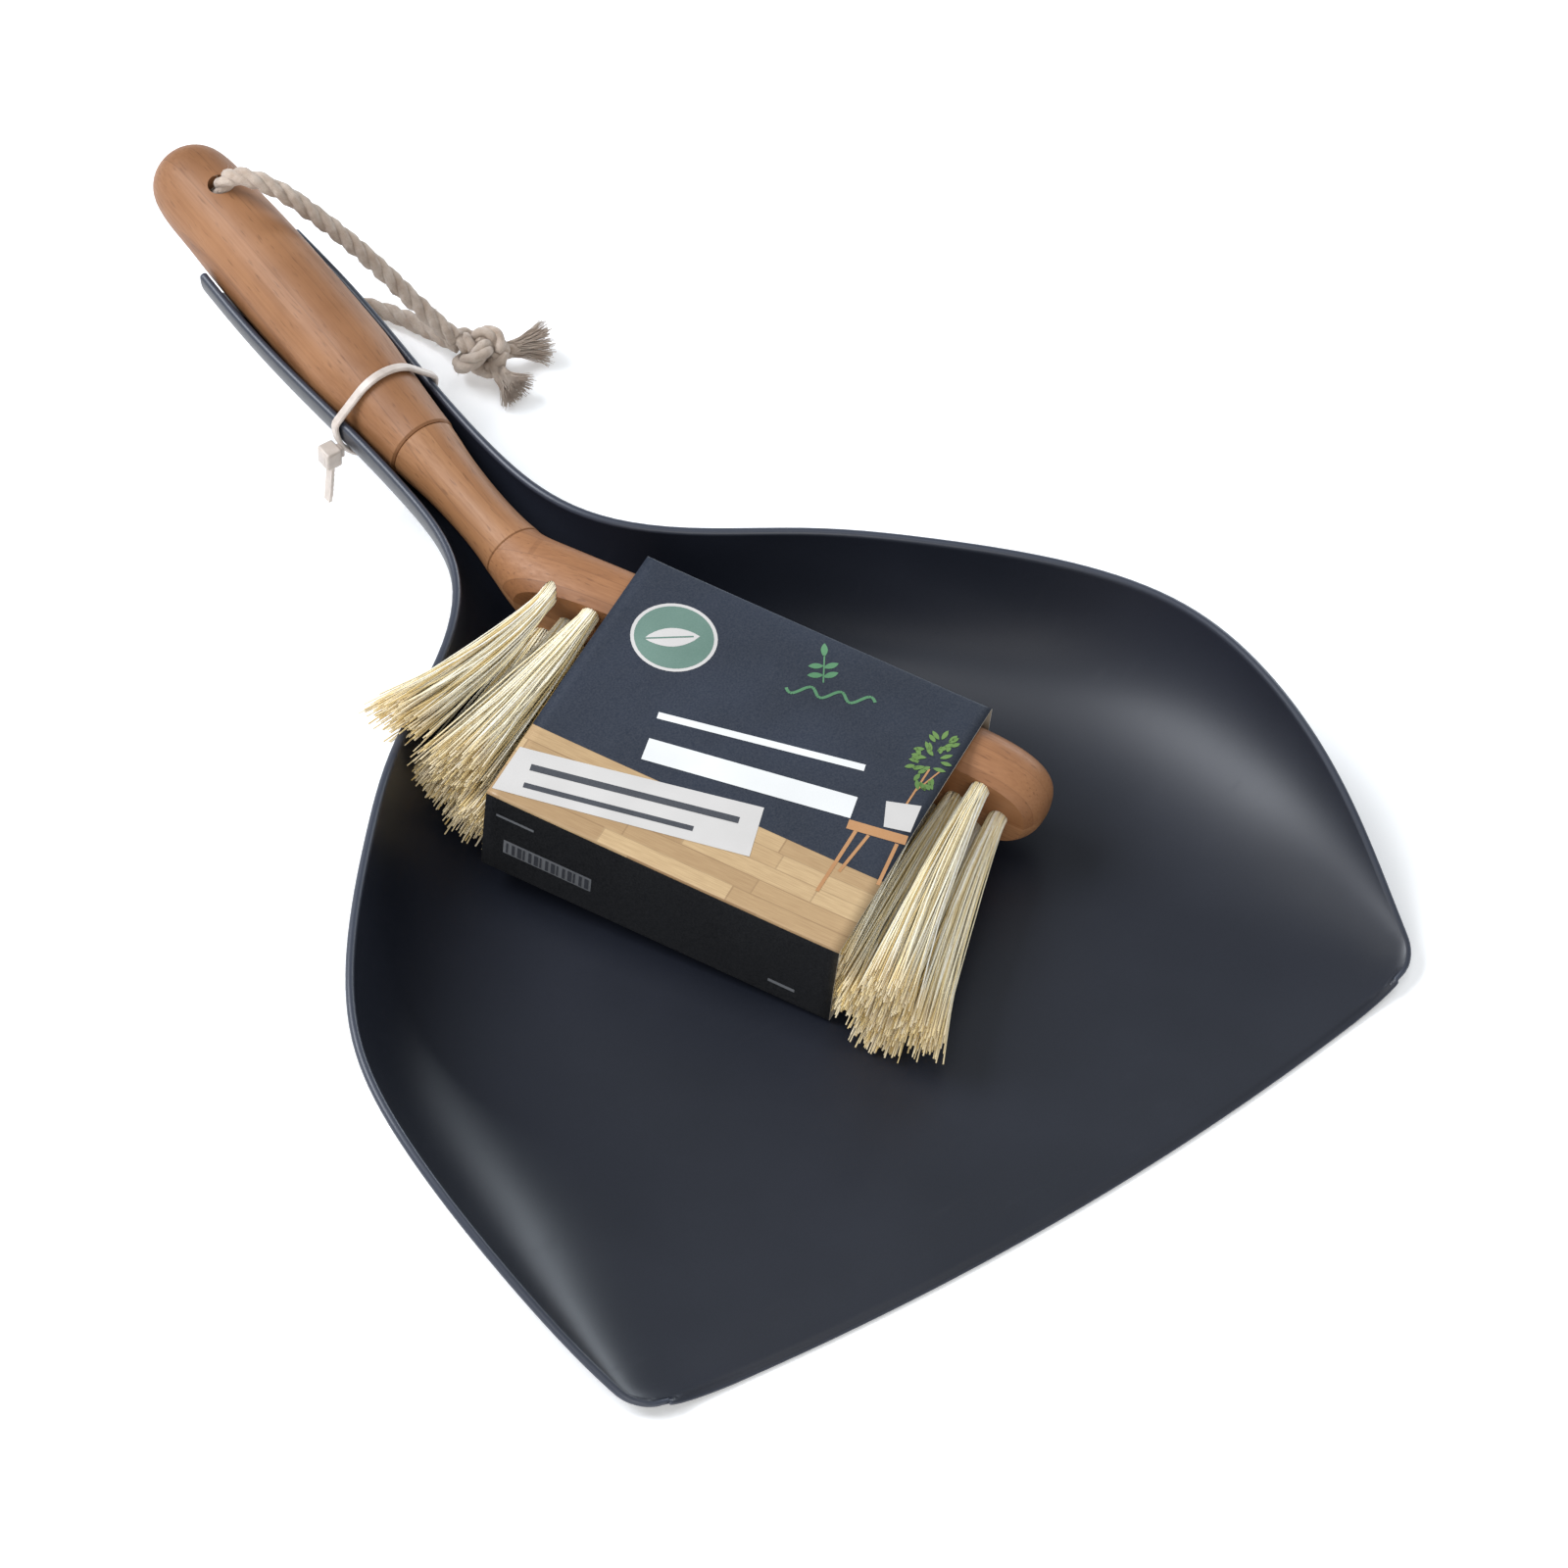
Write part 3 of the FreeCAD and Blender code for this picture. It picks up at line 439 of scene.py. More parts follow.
def rope_material():
    m, nt, bs = new_material("rope_look")
    k = N(nt)
    tc = k.add("ShaderNodeTexCoord").outputs["Object"]
    uv = k.add("ShaderNodeUVMap", uv_map="along")
    st = k.add("ShaderNodeMapping")
    st.inputs["Scale"].default_value = (160.0, 14.0, 1.0)
    k.link(uv.outputs[0], st.inputs["Vector"])
    hair = k.noise(st.outputs["Vector"], 1.0, 3.0, 0.6)
    cloud = k.noise(tc, 260.0, 3.0, 0.6)
    col = k.ramp(cloud, [(0.25, srgb(178, 158, 142)), (0.55, srgb(204, 188, 173)), (0.8, srgb(221, 208, 196))])
    col = k.mix(k.maprange(hair, 0.35, 0.65, 0.0, 0.55), col, srgb(138, 114, 94))
    k.link(col, bs.inputs["Base Color"])
    bs.inputs["Roughness"].default_value = 0.85
    bs.inputs["Sheen Weight"].default_value = 0.25
    bs.inputs["Sheen Roughness"].default_value = 0.5
    bs.inputs["Specular IOR Level"].default_value = 0.25
    nrm = k.bump(hair, 0.8, 0.00022)
    k.link(nrm, bs.inputs["Normal"])
    return m


def tie_material():
    m, nt, bs = new_material("nylon_look")
    k = N(nt)
    tc = k.add("ShaderNodeTexCoord").outputs["Object"]
    cloud = k.noise(tc, 300.0, 2.0, 0.5)
    col = k.ramp(cloud, [(0.3, srgb(180, 168, 158)), (0.7, srgb(199, 187, 177))])
    k.link(col, bs.inputs["Base Color"])
    k.link(k.maprange(cloud, 0.3, 0.7, 0.30, 0.42), bs.inputs["Roughness"])
    bs.inputs["Subsurface Weight"].default_value = 0.35
    bs.inputs["Subsurface Radius"].default_value = (0.002, 0.002, 0.002)
    bs.inputs["Subsurface Scale"].default_value = 0.5
    k.link(k.bump(k.noise(tc, 1800.0, 2.0, 0.5), 0.08, 0.00005), bs.inputs["Normal"])
    return m


def steel_material():
    m, nt, bs = new_material("wire_look")
    k = N(nt)
    tc = k.add("ShaderNodeTexCoord").outputs["Object"]
    cloud = k.noise(tc, 900.0, 2.0, 0.5)
    k.link(k.ramp(cloud, [(0.3, srgb(150, 150, 148)), (0.7, srgb(176, 176, 174))]), bs.inputs["Base Color"])
    bs.inputs["Metallic"].default_value = 1.0
    k.link(k.maprange(cloud, 0.3, 0.7, 0.28, 0.42), bs.inputs["Roughness"])
    return m


def card_material(name, colour_a, colour_b, rough=0.42, bump=0.05):
    m, nt, bs = new_material(name)
    k = N(nt)
    tc = k.add("ShaderNodeTexCoord").outputs["Object"]
    cloud = k.noise(tc, 45.0, 3.0, 0.5)
    fine = k.noise(tc, 2200.0, 2.0, 0.6)
    col = k.ramp(cloud, [(0.3, colour_a), (0.7, colour_b)])
    col = k.mix(k.maprange(fine, 0.3, 0.7, 0.0, 0.02), col, (1, 1, 1, 1))
    k.link(col, bs.inputs["Base Color"])
    k.link(k.maprange(cloud, 0.3, 0.7, rough, rough + 0.07), bs.inputs["Roughness"])
    bs.inputs["Specular IOR Level"].default_value = 0.45
    k.link(k.bump(fine, bump, 0.00004), bs.inputs["Normal"])
    return m


def plank_material():
    """Printed floor boards on the sleeve: pale oak with board lines, from the print's own UV in mm."""
    m, nt, bs = new_material("print_planks")
    k = N(nt)
    uv = k.add("ShaderNodeUVMap", uv_map="print")
    sep = k.add("ShaderNodeSeparateXYZ")
    k.link(uv.outputs[0], sep.inputs[0])
    row = k.math("DIVIDE", sep.outputs["Y"], 4.6)
    idx = k.math("FLOOR", row)
    wn = k.add("ShaderNodeTexWhiteNoise", noise_dimensions="1D")
    k.link(idx, wn.inputs["W"])
    shift = k.math("MULTIPLY", wn.outputs["Value"], 60.0)
    cell = k.math("DIVIDE", k.math("ADD", sep.outputs["X"], shift), 34.0)
    wn2 = k.add("ShaderNodeTexWhiteNoise", noise_dimensions="2D")
    cm = k.add("ShaderNodeCombineXYZ")
    k.link(idx, cm.inputs[0])
    k.link(k.math("FLOOR", cell), cm.inputs[1])
    k.link(cm.outputs[0], wn2.inputs["Vector"])
    col = k.ramp(wn2.outputs["Value"], [(0.0, srgb(158, 128, 92)), (0.5, srgb(182, 152, 112)), (1.0, srgb(200, 172, 130))])
    mp = k.add("ShaderNodeMapping")
    mp.inputs["Scale"].default_value = (0.05, 1.1, 1.0)
    k.link(uv.outputs[0], mp.inputs["Vector"])
    g = k.noise(mp.outputs["Vector"], 3.0, 4.0, 0.6)
    col = k.mix(k.maprange(g, 0.35, 0.7, 0.0, 0.4), col, srgb(132, 98, 64))
    fr = k.math("FRACT", row)
    line = k.math("LESS_THAN", fr, 0.07)
    fx = k.math("LESS_THAN", k.math("FRACT", cell), 0.012)
    col = k.mix(k.math("MULTIPLY", k.math("MAXIMUM", line, fx), 0.34), col, srgb(112, 84, 56))
    k.link(col, bs.inputs["Base Color"])
    bs.inputs["Roughness"].default_value = 0.42
    tc = k.add("ShaderNodeTexCoord").outputs["Object"]
    k.link(k.bump(k.noise(tc, 2200.0, 2.0, 0.6), 0.05, 0.00004), bs.inputs["Normal"])
    return m


GRIP_TONE = (srgb(154, 111, 76), srgb(137, 94, 60), srgb(121, 80, 48))
NECK_TONE = (srgb(166, 123, 87), srgb(150, 107, 71), srgb(136, 93, 59))
HEAD_TONE = (srgb(170, 123, 85), srgb(153, 106, 70), srgb(134, 89, 55))
MAT_PAN = pan_material()
MAT_GRIP = bamboo_material("bamboo_grip_look", (4.8 * D2R, 0, 0), (0, 0.210, 0.0363), GRIP_TONE, 0.0066, 0.0)
MAT_NECK = bamboo_material("bamboo_neck_look", (4.8 * D2R, 0, 0), (0, 0.210, 0.0363), NECK_TONE, 0.0058, 5.2)
# the head's strips run along the head
head_m = BRUSH @ Matrix.Translation(SLEEVE_C * MM) @ Matrix.Rotation(YAW - math.pi / 2, 4, "Z")
MAT_HEAD = bamboo_material("bamboo_head_look", tuple(head_m.to_euler()), tuple(head_m.to_translation()), HEAD_TONE, 0.0060, 9.4)
MAT_DOWEL = bamboo_material("dowel_look", (4.8 * D2R, 0, 0), (0, 0.210, 0.0363), (srgb(214, 184, 142), srgb(204, 172, 130), srgb(194, 160, 118)), 0.02, 2.0)
MAT_FIBRE = fibre_material()
MAT_ROPE = rope_material()
MAT_TIE = tie_material()
MAT_STEEL = steel_material()


def paint(node, material):
    ob = nodes[node]
    if not ob.material_slots:
        ob.data.materials.append(material)
    for s in ob.material_slots:
        s.link = "OBJECT"
        s.material = material


paint("handle_grip", MAT_GRIP)
paint("handle_neck", MAT_NECK)
paint("brush_head", MAT_HEAD)
paint("grip_dowel", MAT_DOWEL)
paint("neck_dowel", MAT_DOWEL)
paint("tuft_anchors", MAT_STEEL)


# ------------------------------------------------------------------ pan shell: the same shell on an even grid, with a bevelled lip
def build_pan():
    nc = 44                       # columns from the centre to the rim
    ss = [1 - (1 - i / nc) ** 1.35 for i in range(nc + 1)]
    f0, sag, rc = -100.0, 9.0, 7.0

    def front(x):
        return f0 + sag * (x / 113.0) ** 2

    yc = f0 + sag + rc

    def width(y):
        w = rim_w(y)
        if y < yc:
            t = min((yc - y) / rc, 1.0)
            w -= rc * (1 - math.sqrt(max(1 - t * t, 0.0))) * 0.98
        return w

    rows = []
    y_stations = [0.0, 0.4, 0.8, 1.2, 1.7, 2.2, 2.8, 3.5, 4.3, 5.2, 6.2, 7.4, 9.0, 11.5, 15.0]
    tot = 340.0
    y = 15.0
    while y < tot - 2.0:
        y += 3.2
        y_stations.append(min(y, tot - 1.6))
    y_stations += [tot - 0.9, tot - 0.4, tot]
    y_stations = sorted(set(y_stations))
    grid = []
    for st in y_stations:
        t = st / tot
        row = []
        for s in ss:
            yy = f0 + st
            for _ in range(12):
                x = mid(yy, s, width(yy)).x
                lead = front(min(x, width(yy))) - f0
                yy = f0 + st + lead * (1 - smooth(0, 90, st))
            row.append(mid(yy, s, width(yy)))
        grid.append(row)
    nr = len(grid)
    # normals from the grid, mirrored across the centre line
    full = [[Vector((-p.x, p.y, p.z)) for p in r[:0:-1]] + r for r in grid]
    cols = len(full[0])
    nor = [[None] * cols for _ in range(nr)]
    for i in range(nr):
        for j in range(cols):
            dx = full[i][min(j + 1, cols - 1)] - full[i][max(j - 1, 0)]
            dy = full[min(i + 1, nr - 1)][j] - full[max(i - 1, 0)][j]
            m = dx.cross(dy)
            if m.length < 1e-9:
                m = Vector((0, 0, 1))
            nor[i][j] = m.normalized()
    verts, faces = [], []

    def put(p):
        verts.append(Vector((p.x, p.y, max(p.z, 0.0))) * MM)
        return len(verts) - 1

    inner = [[0] * cols for _ in range(nr)]
    outer = [[0] * cols for _ in range(nr)]
    for i in range(nr):
        for j in range(cols):
            p = full[i][j]
            h = wall(p.y) / 2
            st = y_stations[i]
            bevel = 0.62 * h * (1 - smooth(0.0, 2.4, st)) if st < 2.4 else 0.0
            inner[i][j] = put(p + nor[i][j] * (h - bevel))
            outer[i][j] = put(p - nor[i][j] * h)
    for i in range(nr - 1):
        for j in range(cols - 1):
            faces.append((inner[i][j], inner[i][j + 1], inner[i + 1][j + 1], inner[i + 1][j]))
            faces.append((outer[i][j], outer[i + 1][j], outer[i + 1][j + 1], outer[i][j + 1]))

    # rounded edge all round: boundary as a closed loop of grid positions
    loop = [(0, j) for j in range(cols)] + [(i, cols - 1) for i in range(1, nr)] + \
           [(nr - 1, j) for j in range(cols - 2, -1, -1)] + [(i, 0) for i in range(nr - 2, 0, -1)]
    arcs = []
    for q, (i, j) in enumerate(loop):
        pi, pj = loop[q - 1]
        ni, nj = loop[(q + 1) % len(loop)]
        a = verts[inner[i][j]]
        b = verts[outer[i][j]]
        c = (a + b) / 2
        tang = (full[ni][nj] - full[pi][pj]).normalized()
        outv = tang.cross(nor[i][j]).normalized()
        half = (a - b) / 2
        ids = [inner[i][j]]
        for k in (1, 2, 3):
            g = math.pi * k / 4
            p = c + half * math.cos(g) + outv * (half.length * math.sin(g) * 0.9)
            p.z = max(p.z, 0.0)
            verts.append(p)
            ids.append(len(verts) - 1)
        ids.append(outer[i][j])
        arcs.append(ids)
    for q in range(len(arcs)):
        a, b = arcs[q], arcs[(q + 1) % len(arcs)]
        for k in range(4):
            faces.append((a[k], a[k + 1], b[k + 1], b[k]))
    ob = mesh_object("pan_shell_moulding", verts, faces, MAT_PAN)
    bm = bmesh.new()
    bm.from_mesh(ob.data)
    bmesh.ops.remove_doubles(bm, verts=bm.verts, dist=1e-6)
    bmesh.ops.dissolve_degenerate(bm, edges=bm.edges, dist=1e-7)
    bmesh.ops.recalc_face_normals(bm, faces=bm.faces)
    bm.to_mesh(ob.data)
    bm.free()
    for p in ob.data.polygons:
        p.use_smooth = True
    return ob


pan = build_pan()
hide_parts("pan_shell")
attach(pan, "pan")

# ------------------------------------------------------------------ bristles, fibre by fibre
PITCH_T, GAP, REACH = 11.7, 7.6, 64.0
ROWS = {
    "top": [(-64.0 + PITCH_T * i, GAP) for i in range(11)],
    "middle": [(-58.2 + PITCH_T * i, 0.0) for i in range(11)],
    "bottom": [(-64.0 + PITCH_T * i, -GAP) for i in range(11)],
}


def tip_of(a, w):
    reach = FACE_B + REACH
    wt = w * 1.17
    if a < -48:
        kk = (-48 - a) / 16.0
        f = 0.5 + 0.5 * w / GAP
        lift = 3.5 if (a < -62 and w > 0) else 0.0
        return a + (1 - f) * (1.5 if a < -60 else 0.3) - f * (3.0 + 9.0 * kk), reach - 3.0 - 5.0 * kk, wt + lift
    if a > 45:
        kk = (a - 45) / 14.0
        return a + 1.0 + 10.5 * kk, reach + 3.2 + 0.8 * kk, wt
    return a + 3.5 * (a / 45.0) ** 3, reach, wt


def build_row(label, places, seed):
    rnd = random.Random(seed)
    verts, faces, tones = [], [], []
    sides, rings = 5, 8
    for a, w in places:
        ta, tb, tw = tip_of(a, w)
        left, rightmost = a < -48, a > 45
        count = 215 if (left or rightmost) else (95 if abs(a) > 34 else 44)
        spread = 7.2 if left else (6.4 if rightmost else 4.3)
        bias = rnd.uniform(-0.12, 0.12)
        for f in range(count):
            rr = math.sqrt(rnd.random())
            th = rnd.uniform(0, 2 * math.pi)
            r0 = 2.2 * rr
            u0, v0 = r0 * math.cos(th), r0 * math.sin(th)
            th2 = th + rnd.gauss(0, 0.25)
            r1 = spread * min(rr * rnd.uniform(0.8, 1.12), 1.0)
            if left or rightmost:
                r1 *= rnd.choice((1.0, 1.0, 1.0, 1.15, 1.3))
            u1, v1 = r1 * math.cos(th2), r1 * math.sin(th2) * (0.8 if not (left or rightmost) else 0.95)
            db = rnd.uniform(-2.6, 0.4) if not (left or rightmost) else min(rnd.gauss(-0.8, 1.5), 1.6)
            aa, bb, ww = ta + u1, tb + db, tw + v1
            if not (left or rightmost):
                bb = min(bb, 40.9)
                ww = max(min(ww, 12.9), -12.9)
            elif rightmost:
                bb = min(bb, 47.5)
                if aa < 48.5:
                    ww = max(min(ww, 12.9), -12.9)
                    bb = min(bb, 40.9)
            else:
                if aa > -48.5:
                    ww = max(min(ww, 12.9), -12.9)
            root = on_head(a + u0 * 0.95, FACE_B - 5.2, w + v0 * 0.95)
            face = on_head(a + u0 * 1.05, FACE_B + 1.2, w + v0 * 1.05)
            tip = on_head(aa, bb, ww)
            # gentle curve: leaves square to the face, then heads for its tip, with a slight wave
            ctrl = face + B_DIR * ((bb - FACE_B) * 0.38) + Vector((0, 0, (ww - w) * 0.10)) + A_DIR * ((aa - a) * 0.16)
            bend_a, bend_w = rnd.gauss(0, 0.55), rnd.gauss(0, 0.5)
            pts = [root]
            for g in range(rings - 1):
                t = (g + 0.0) / (rings - 2)
                p = face * ((1 - t) ** 2) + ctrl * (2 * t * (1 - t)) + tip * (t * t)
                s = math.sin(math.pi * t)
                p = p + A_DIR * (bend_a * s) + Vector((0, 0, bend_w * s))
                if not (left or rightmost) or abs(p.dot(A_DIR) - SLEEVE_C.dot(A_DIR)) < 47.5:
                    q = p - SLEEVE_C
                    if q.z > 13.1:
                        p.z -= q.z - 13.1
                    if q.z < -13.1:
                        p.z += -13.1 - q.z
                pts.append(p)
            wpts = [to_world(p) for p in pts]
            # keep clear of the pan: lift the fibre, more towards its tip
            if left or rightmost:
                for _ in range(9):
                    worst, at = 0.0, 1
                    for i, q in enumerate(wpts[1:], 1):
                        need = (inside_height(q.x / MM, q.y / MM) + 1.3) * MM - q.z
                        if need > worst:
                            worst, at = need, i
                    if worst <= 0:
                        break
                    for i in range(1, len(wpts)):
                        wpts[i].z += worst * min(i / at, 1.35)
            rad = rnd.uniform(0.17, 0.25) * MM
            radii = [rad * (1.0 - 0.12 * (i / rings)) for i in range(rings)]
            tone = min(max(rnd.gauss(0.50 if left else 0.60, 0.25) + bias, 0.0), 1.0)
            n0 = len(verts)
            add_tube(verts, faces, wpts, radii, sides)
            for i in range(rings):
                for _ in range(sides):
                    tones.append((tone, i / (rings - 1), rnd.random(), 1.0))
    ob = mesh_object("bristles_%s_fibres" % label, verts, faces, MAT_FIBRE)
    attr = ob.data.color_attributes.new("tone", "FLOAT_COLOR", "POINT")
    flat = [c for t in tones for c in t]
    attr.data.foreach_set("color", flat)
    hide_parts("bristles_%s_row" % label)
    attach(ob, "brush")
    return ob


for label, seed in (("top", 11), ("middle", 23), ("bottom", 37)):
    build_row(label, ROWS[label], seed)


# ------------------------------------------------------------------ board sleeve
SL, SD, SH, SB = 93.2, 83.6, 28.0, 0.5


def loop_section(half_b, half_w, rad, bulge, seg=5):
    """Rounded rectangle in (b, w), counter-clockwise from the middle of the back, with slightly bowed panels."""
    pts = []

    def side(p, q, n, nx, nz, amount):
        for i in range(n):
            t = i / n
            s = math.sin(math.pi * t) * amount
            pts.append((p[0] + (q[0] - p[0]) * t + nx * s, p[1] + (q[1] - p[1]) * t + nz * s))

    def corner(cx, cz, a0):
        for i in range(seg):
            g = a0 + (math.pi / 2) * i / seg
            pts.append((cx + rad * math.cos(g), cz + rad * math.sin(g)))

    hb, hw, r = half_b, half_w, rad
    # top from back to front is b increasing at w = +hw; walk: front face up, top backwards, back down, bottom forwards
    side((hb, -hw + r), (hb, hw - r), 10, 1, 0, bulge * 0.6)
    corner(hb - r, hw - r, 0)
    side((hb - r, hw), (-hb + r, hw), 22, 0, 1, bulge)
    corner(-hb + r, hw - r, math.pi / 2)
    side((-hb, hw - r), (-hb, -hw + r), 10, -1, 0, bulge * 0.3)
    corner(-hb + r, -hw + r, math.pi)
    side((-hb + r, -hw), (hb - r, -hw), 22, 0, -1, 0.0)
    corner(hb - r, -hw + r, 1.5 * math.pi)
    return pts


def build_sleeve():
    mats = [
        card_material("print_dark", srgb(18, 27, 42), srgb(23, 33, 50), 0.46),
        plank_material(),
        # the sides (front, back and bottom) take a near-black copy of the top's dark card print: the card's own dark
        # print, with painted shade that makes the sides darker than the top
        card_material("print_sides_with_painted_shade", srgb(3, 4, 8), srgb(6, 8, 13), 0.48),
        card_material("board_inside", srgb(150, 140, 124), srgb(166, 156, 140), 0.85, 0.3),
        card_material("board_edge", srgb(176, 170, 158), srgb(190, 184, 172), 0.85, 0.3),
    ]
    out = loop_section(SD / 2, SH / 2, 0.9, 0.45)
    inn = loop_section(SD / 2 - SB, SH / 2 - SB, 0.5, 0.45)
    n = len(out)
    na = 30
    verts, faces, fmat, fuv = [], [], [], []
    per = [0.0]
    for i in range(n):
        p, q = out[i], out[(i + 1) % n]
        per.append(per[-1] + math.hypot(q[0] - p[0], q[1] - p[1]))
    for i in range(na + 1):
        a = -SL / 2 + SL * i / na
        flare = 0.25 * (abs(a) / (SL / 2)) ** 6
        for (b, w) in out:
            verts.append(to_world(on_head(a, b, w + (flare if w > 12 else 0))))
    for i in range(na + 1):
        a = -SL / 2 + SL * i / na
        flare = 0.25 * (abs(a) / (SL / 2)) ** 6
        for (b, w) in inn:
            verts.append(to_world(on_head(a, b, w + (flare if w > 12 else 0))))
    base = (na + 1) * n

    def put(f, m, uvs):
        faces.append(f)
        fmat.append(m)
        fuv.append(uvs)

    for i in range(na):
        a0, a1 = SL * i / na, SL * (i + 1) / na
        for j in range(n):
            k = (j + 1) % n
            b_mid = (out[j][0] + out[k][0]) / 2
            w_mid = (out[j][1] + out[k][1]) / 2
            if w_mid > SH / 2 - 0.6:
                m = 0 if b_mid < 19.0 else 1
            elif b_mid > SD / 2 - 0.8:
                m = 2
            elif w_mid < -SH / 2 + 0.6:
                m = 2
            else:
                m = 2
            u = [(a0, out[j][0]), (a1, out[j][0]), (a1, out[k][0]), (a0, out[k][0])]
            put((i * n + j, (i + 1) * n + j, (i + 1) * n + k, i * n + k), m, u)
            put((base + i * n + j, base + i * n + k, base + (i + 1) * n + k, base + (i + 1) * n + j), 3,
                [(a0, 0), (a0, 0), (a1, 0), (a1, 0)])
    for i in (0, na):
        for j in range(n):
            k = (j + 1) % n
            f = (i * n + j, i * n + k, base + i * n + k, base + i * n + j)
            put(f if i == 0 else f[::-1], 4, [(0, 0)] * 4)
    ob = mesh_object("sleeve_board", verts, faces, None)
    for m in mats:
        ob.data.materials.append(m)
    uvl = ob.data.uv_layers.new(name="print")
    for poly, m, uvs in zip(ob.data.polygons, fmat, fuv):
        poly.material_index = m
        for li, uv in zip(poly.loop_indices, uvs):
            uvl.data[li].uv = uv
    bm = bmesh.new()
    bm.from_mesh(ob.data)
    bmesh.ops.recalc_face_normals(bm, faces=bm.faces)
    bm.to_mesh(ob.data)
    bm.free()
    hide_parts("sleeve")
    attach(ob, "sleeve")
    return ob


build_sleeve()

# printed motifs: thin inked shapes on the board (plain generic shapes, no lettering)
INK = {
    "white": card_material("ink_white", srgb(214, 214, 212), srgb(224, 224, 222), 0.45),
    "pale": card_material("ink_pale", srgb(190, 186, 182), srgb(202, 198, 194), 0.45),
    "green": card_material("ink_green", srgb(74, 122, 84), srgb(92, 142, 100), 0.45),
    "leaf": card_material("ink_leaf", srgb(84, 118, 54), srgb(110, 142, 72), 0.45),
    "grey": card_material("ink_grey", srgb(110, 112, 116), srgb(124, 126, 130), 0.45),
    "wood": card_material("ink_wood", srgb(170, 122, 78), srgb(186, 138, 92), 0.45),
    "dark": card_material("ink_dark", srgb(52, 54, 60), srgb(62, 64, 70), 0.45),
    "blue": card_material("ink_sage", srgb(88, 116, 104), srgb(102, 130, 118), 0.45),
}
INK_ORDER = list(INK)


def top_w(a, b, lift):
    t = (SD / 2 - 0.9 - b) / (SD - 1.8)
    t = min(max(t, 0.0), 1.0)
    return SH / 2 + math.sin(math.pi * t) * 0.45 + 0.25 * (abs(a) / (SL / 2)) ** 6 + lift


class Print:
    def __init__(self):
        self.v, self.f, self.m = [], [], []
        self.level = 0.05

    def poly(self, pts, ink):
        """pts in (a, b) on the top of the sleeve"""
        base = len(self.v)
        for a, b in pts:
            self.v.append(to_world(on_head(a, b, top_w(a, b, self.level))))
        self.f.append(tuple(range(base, base + len(pts))))
        self.m.append(INK_ORDER.index(ink))

    def strip(self, a0, b0, a1, b1, width, ink, cuts=10):
        d = Vector((a1 - a0, b1 - b0))
        nrm = Vector((-d.y, d.x)).normalized() * (width / 2)
        for i in range(cuts):
            p, q = i / cuts, (i + 1) / cuts
            x0, y0 = a0 + d.x * p, b0 + d.y * p
            x1, y1 = a0 + d.x * q, b0 + d.y * q
            self.poly([(x0 - nrm.x, y0 - nrm.y), (x1 - nrm.x, y1 - nrm.y), (x1 + nrm.x, y1 + nrm.y), (x0 + nrm.x, y0 + nrm.y)], ink)

    def ellipse(self, a, b, ra, rb, turn, ink, n=26):
        c, s = math.cos(turn), math.sin(turn)
        self.poly([(a + ra * math.cos(g) * c - rb * math.sin(g) * s, b + ra * math.cos(g) * s + rb * math.sin(g) * c)
                   for g in [2 * math.pi * i / n for i in range(n)]], ink)

    def leaf(self, a, b, length, width, turn, ink, n=10):
        c, s = math.cos(turn), math.sin(turn)
        top, bot_ = [], []
        for i in range(n + 1):
            t = i / n
            x, y = length * t, width / 2 * math.sin(math.pi * t) ** 0.8 if 0 < t < 1 else 0.0
            top.append((a + x * c - y * s, b + x * s + y * c))
            bot_.append((a + x * c + y * s, b + x * s - y * c))
        self.poly(top + bot_[-2:0:-1], ink)

    def front(self, pts, ink):
        """pts in (a, w) on the front face of the sleeve"""
        base = len(self.v)
        for a, w in pts:
            t = (w + SH / 2 - 0.9) / (SH - 1.8)
            t = min(max(t, 0.0), 1.0)
            self.v.append(to_world(on_head(a, SD / 2 + math.sin(math.pi * t) * 0.27 + 0.05, w)))
        self.f.append(tuple(range(base, base + len(pts))))
        self.m.append(INK_ORDER.index(ink))


pr = Print()
# round badge of plain rings with a leaf, back left corner of the top
pr.ellipse(-29.5, -22.0, 10.6, 10.6, 0, "pale", 40)
pr.level = 0.08
pr.ellipse(-29.5, -22.0, 9.7, 9.7, 0, "blue", 40)
pr.level = 0.11
pr.leaf(-35.6, -18.0, 13.6, 5.8, -0.58, "pale")
pr.level = 0.14
pr.strip(-35.6, -18.0, -25.5, -24.6, 0.45, "blue", 6)
# small sprig of leaves with a wavy line under it
pr.level = 0.06
pr.strip(7.9, -27.9, 4.4, -35.6, 0.4, "green", 4)
for (la, lb, ln, tw) in [(7.2, -29.4, 4.0, -0.9), (6.9, -30.0, 4.0, 2.6), (6.0, -32.0, 4.0, -0.9), (5.7, -32.6, 3.8, 2.6), (4.5, -35.2, 4.2, -2.0)]:
    pr.leaf(la, lb, ln, 1.7, tw, "green")
prev = None
for i in range(41):
    t = i / 40
    q = (0.8 + 20.6 * t, -22.0 - 6.8 * t + 1.5 * math.sin(t * 6 * math.pi))
    if prev:
        pr.strip(prev[0], prev[1], q[0], q[1], 0.8, "green", 1)
    prev = q
# plain bars where a title would be: a thin one over a thick one, set slightly askew like the rest of the print
pr.strip(-22.0, 1.2, 28.0, -9.6, 2.0, "white", 16)
pr.strip(-20.0, 11.6, 31.0, 2.4, 6.6, "white", 18)
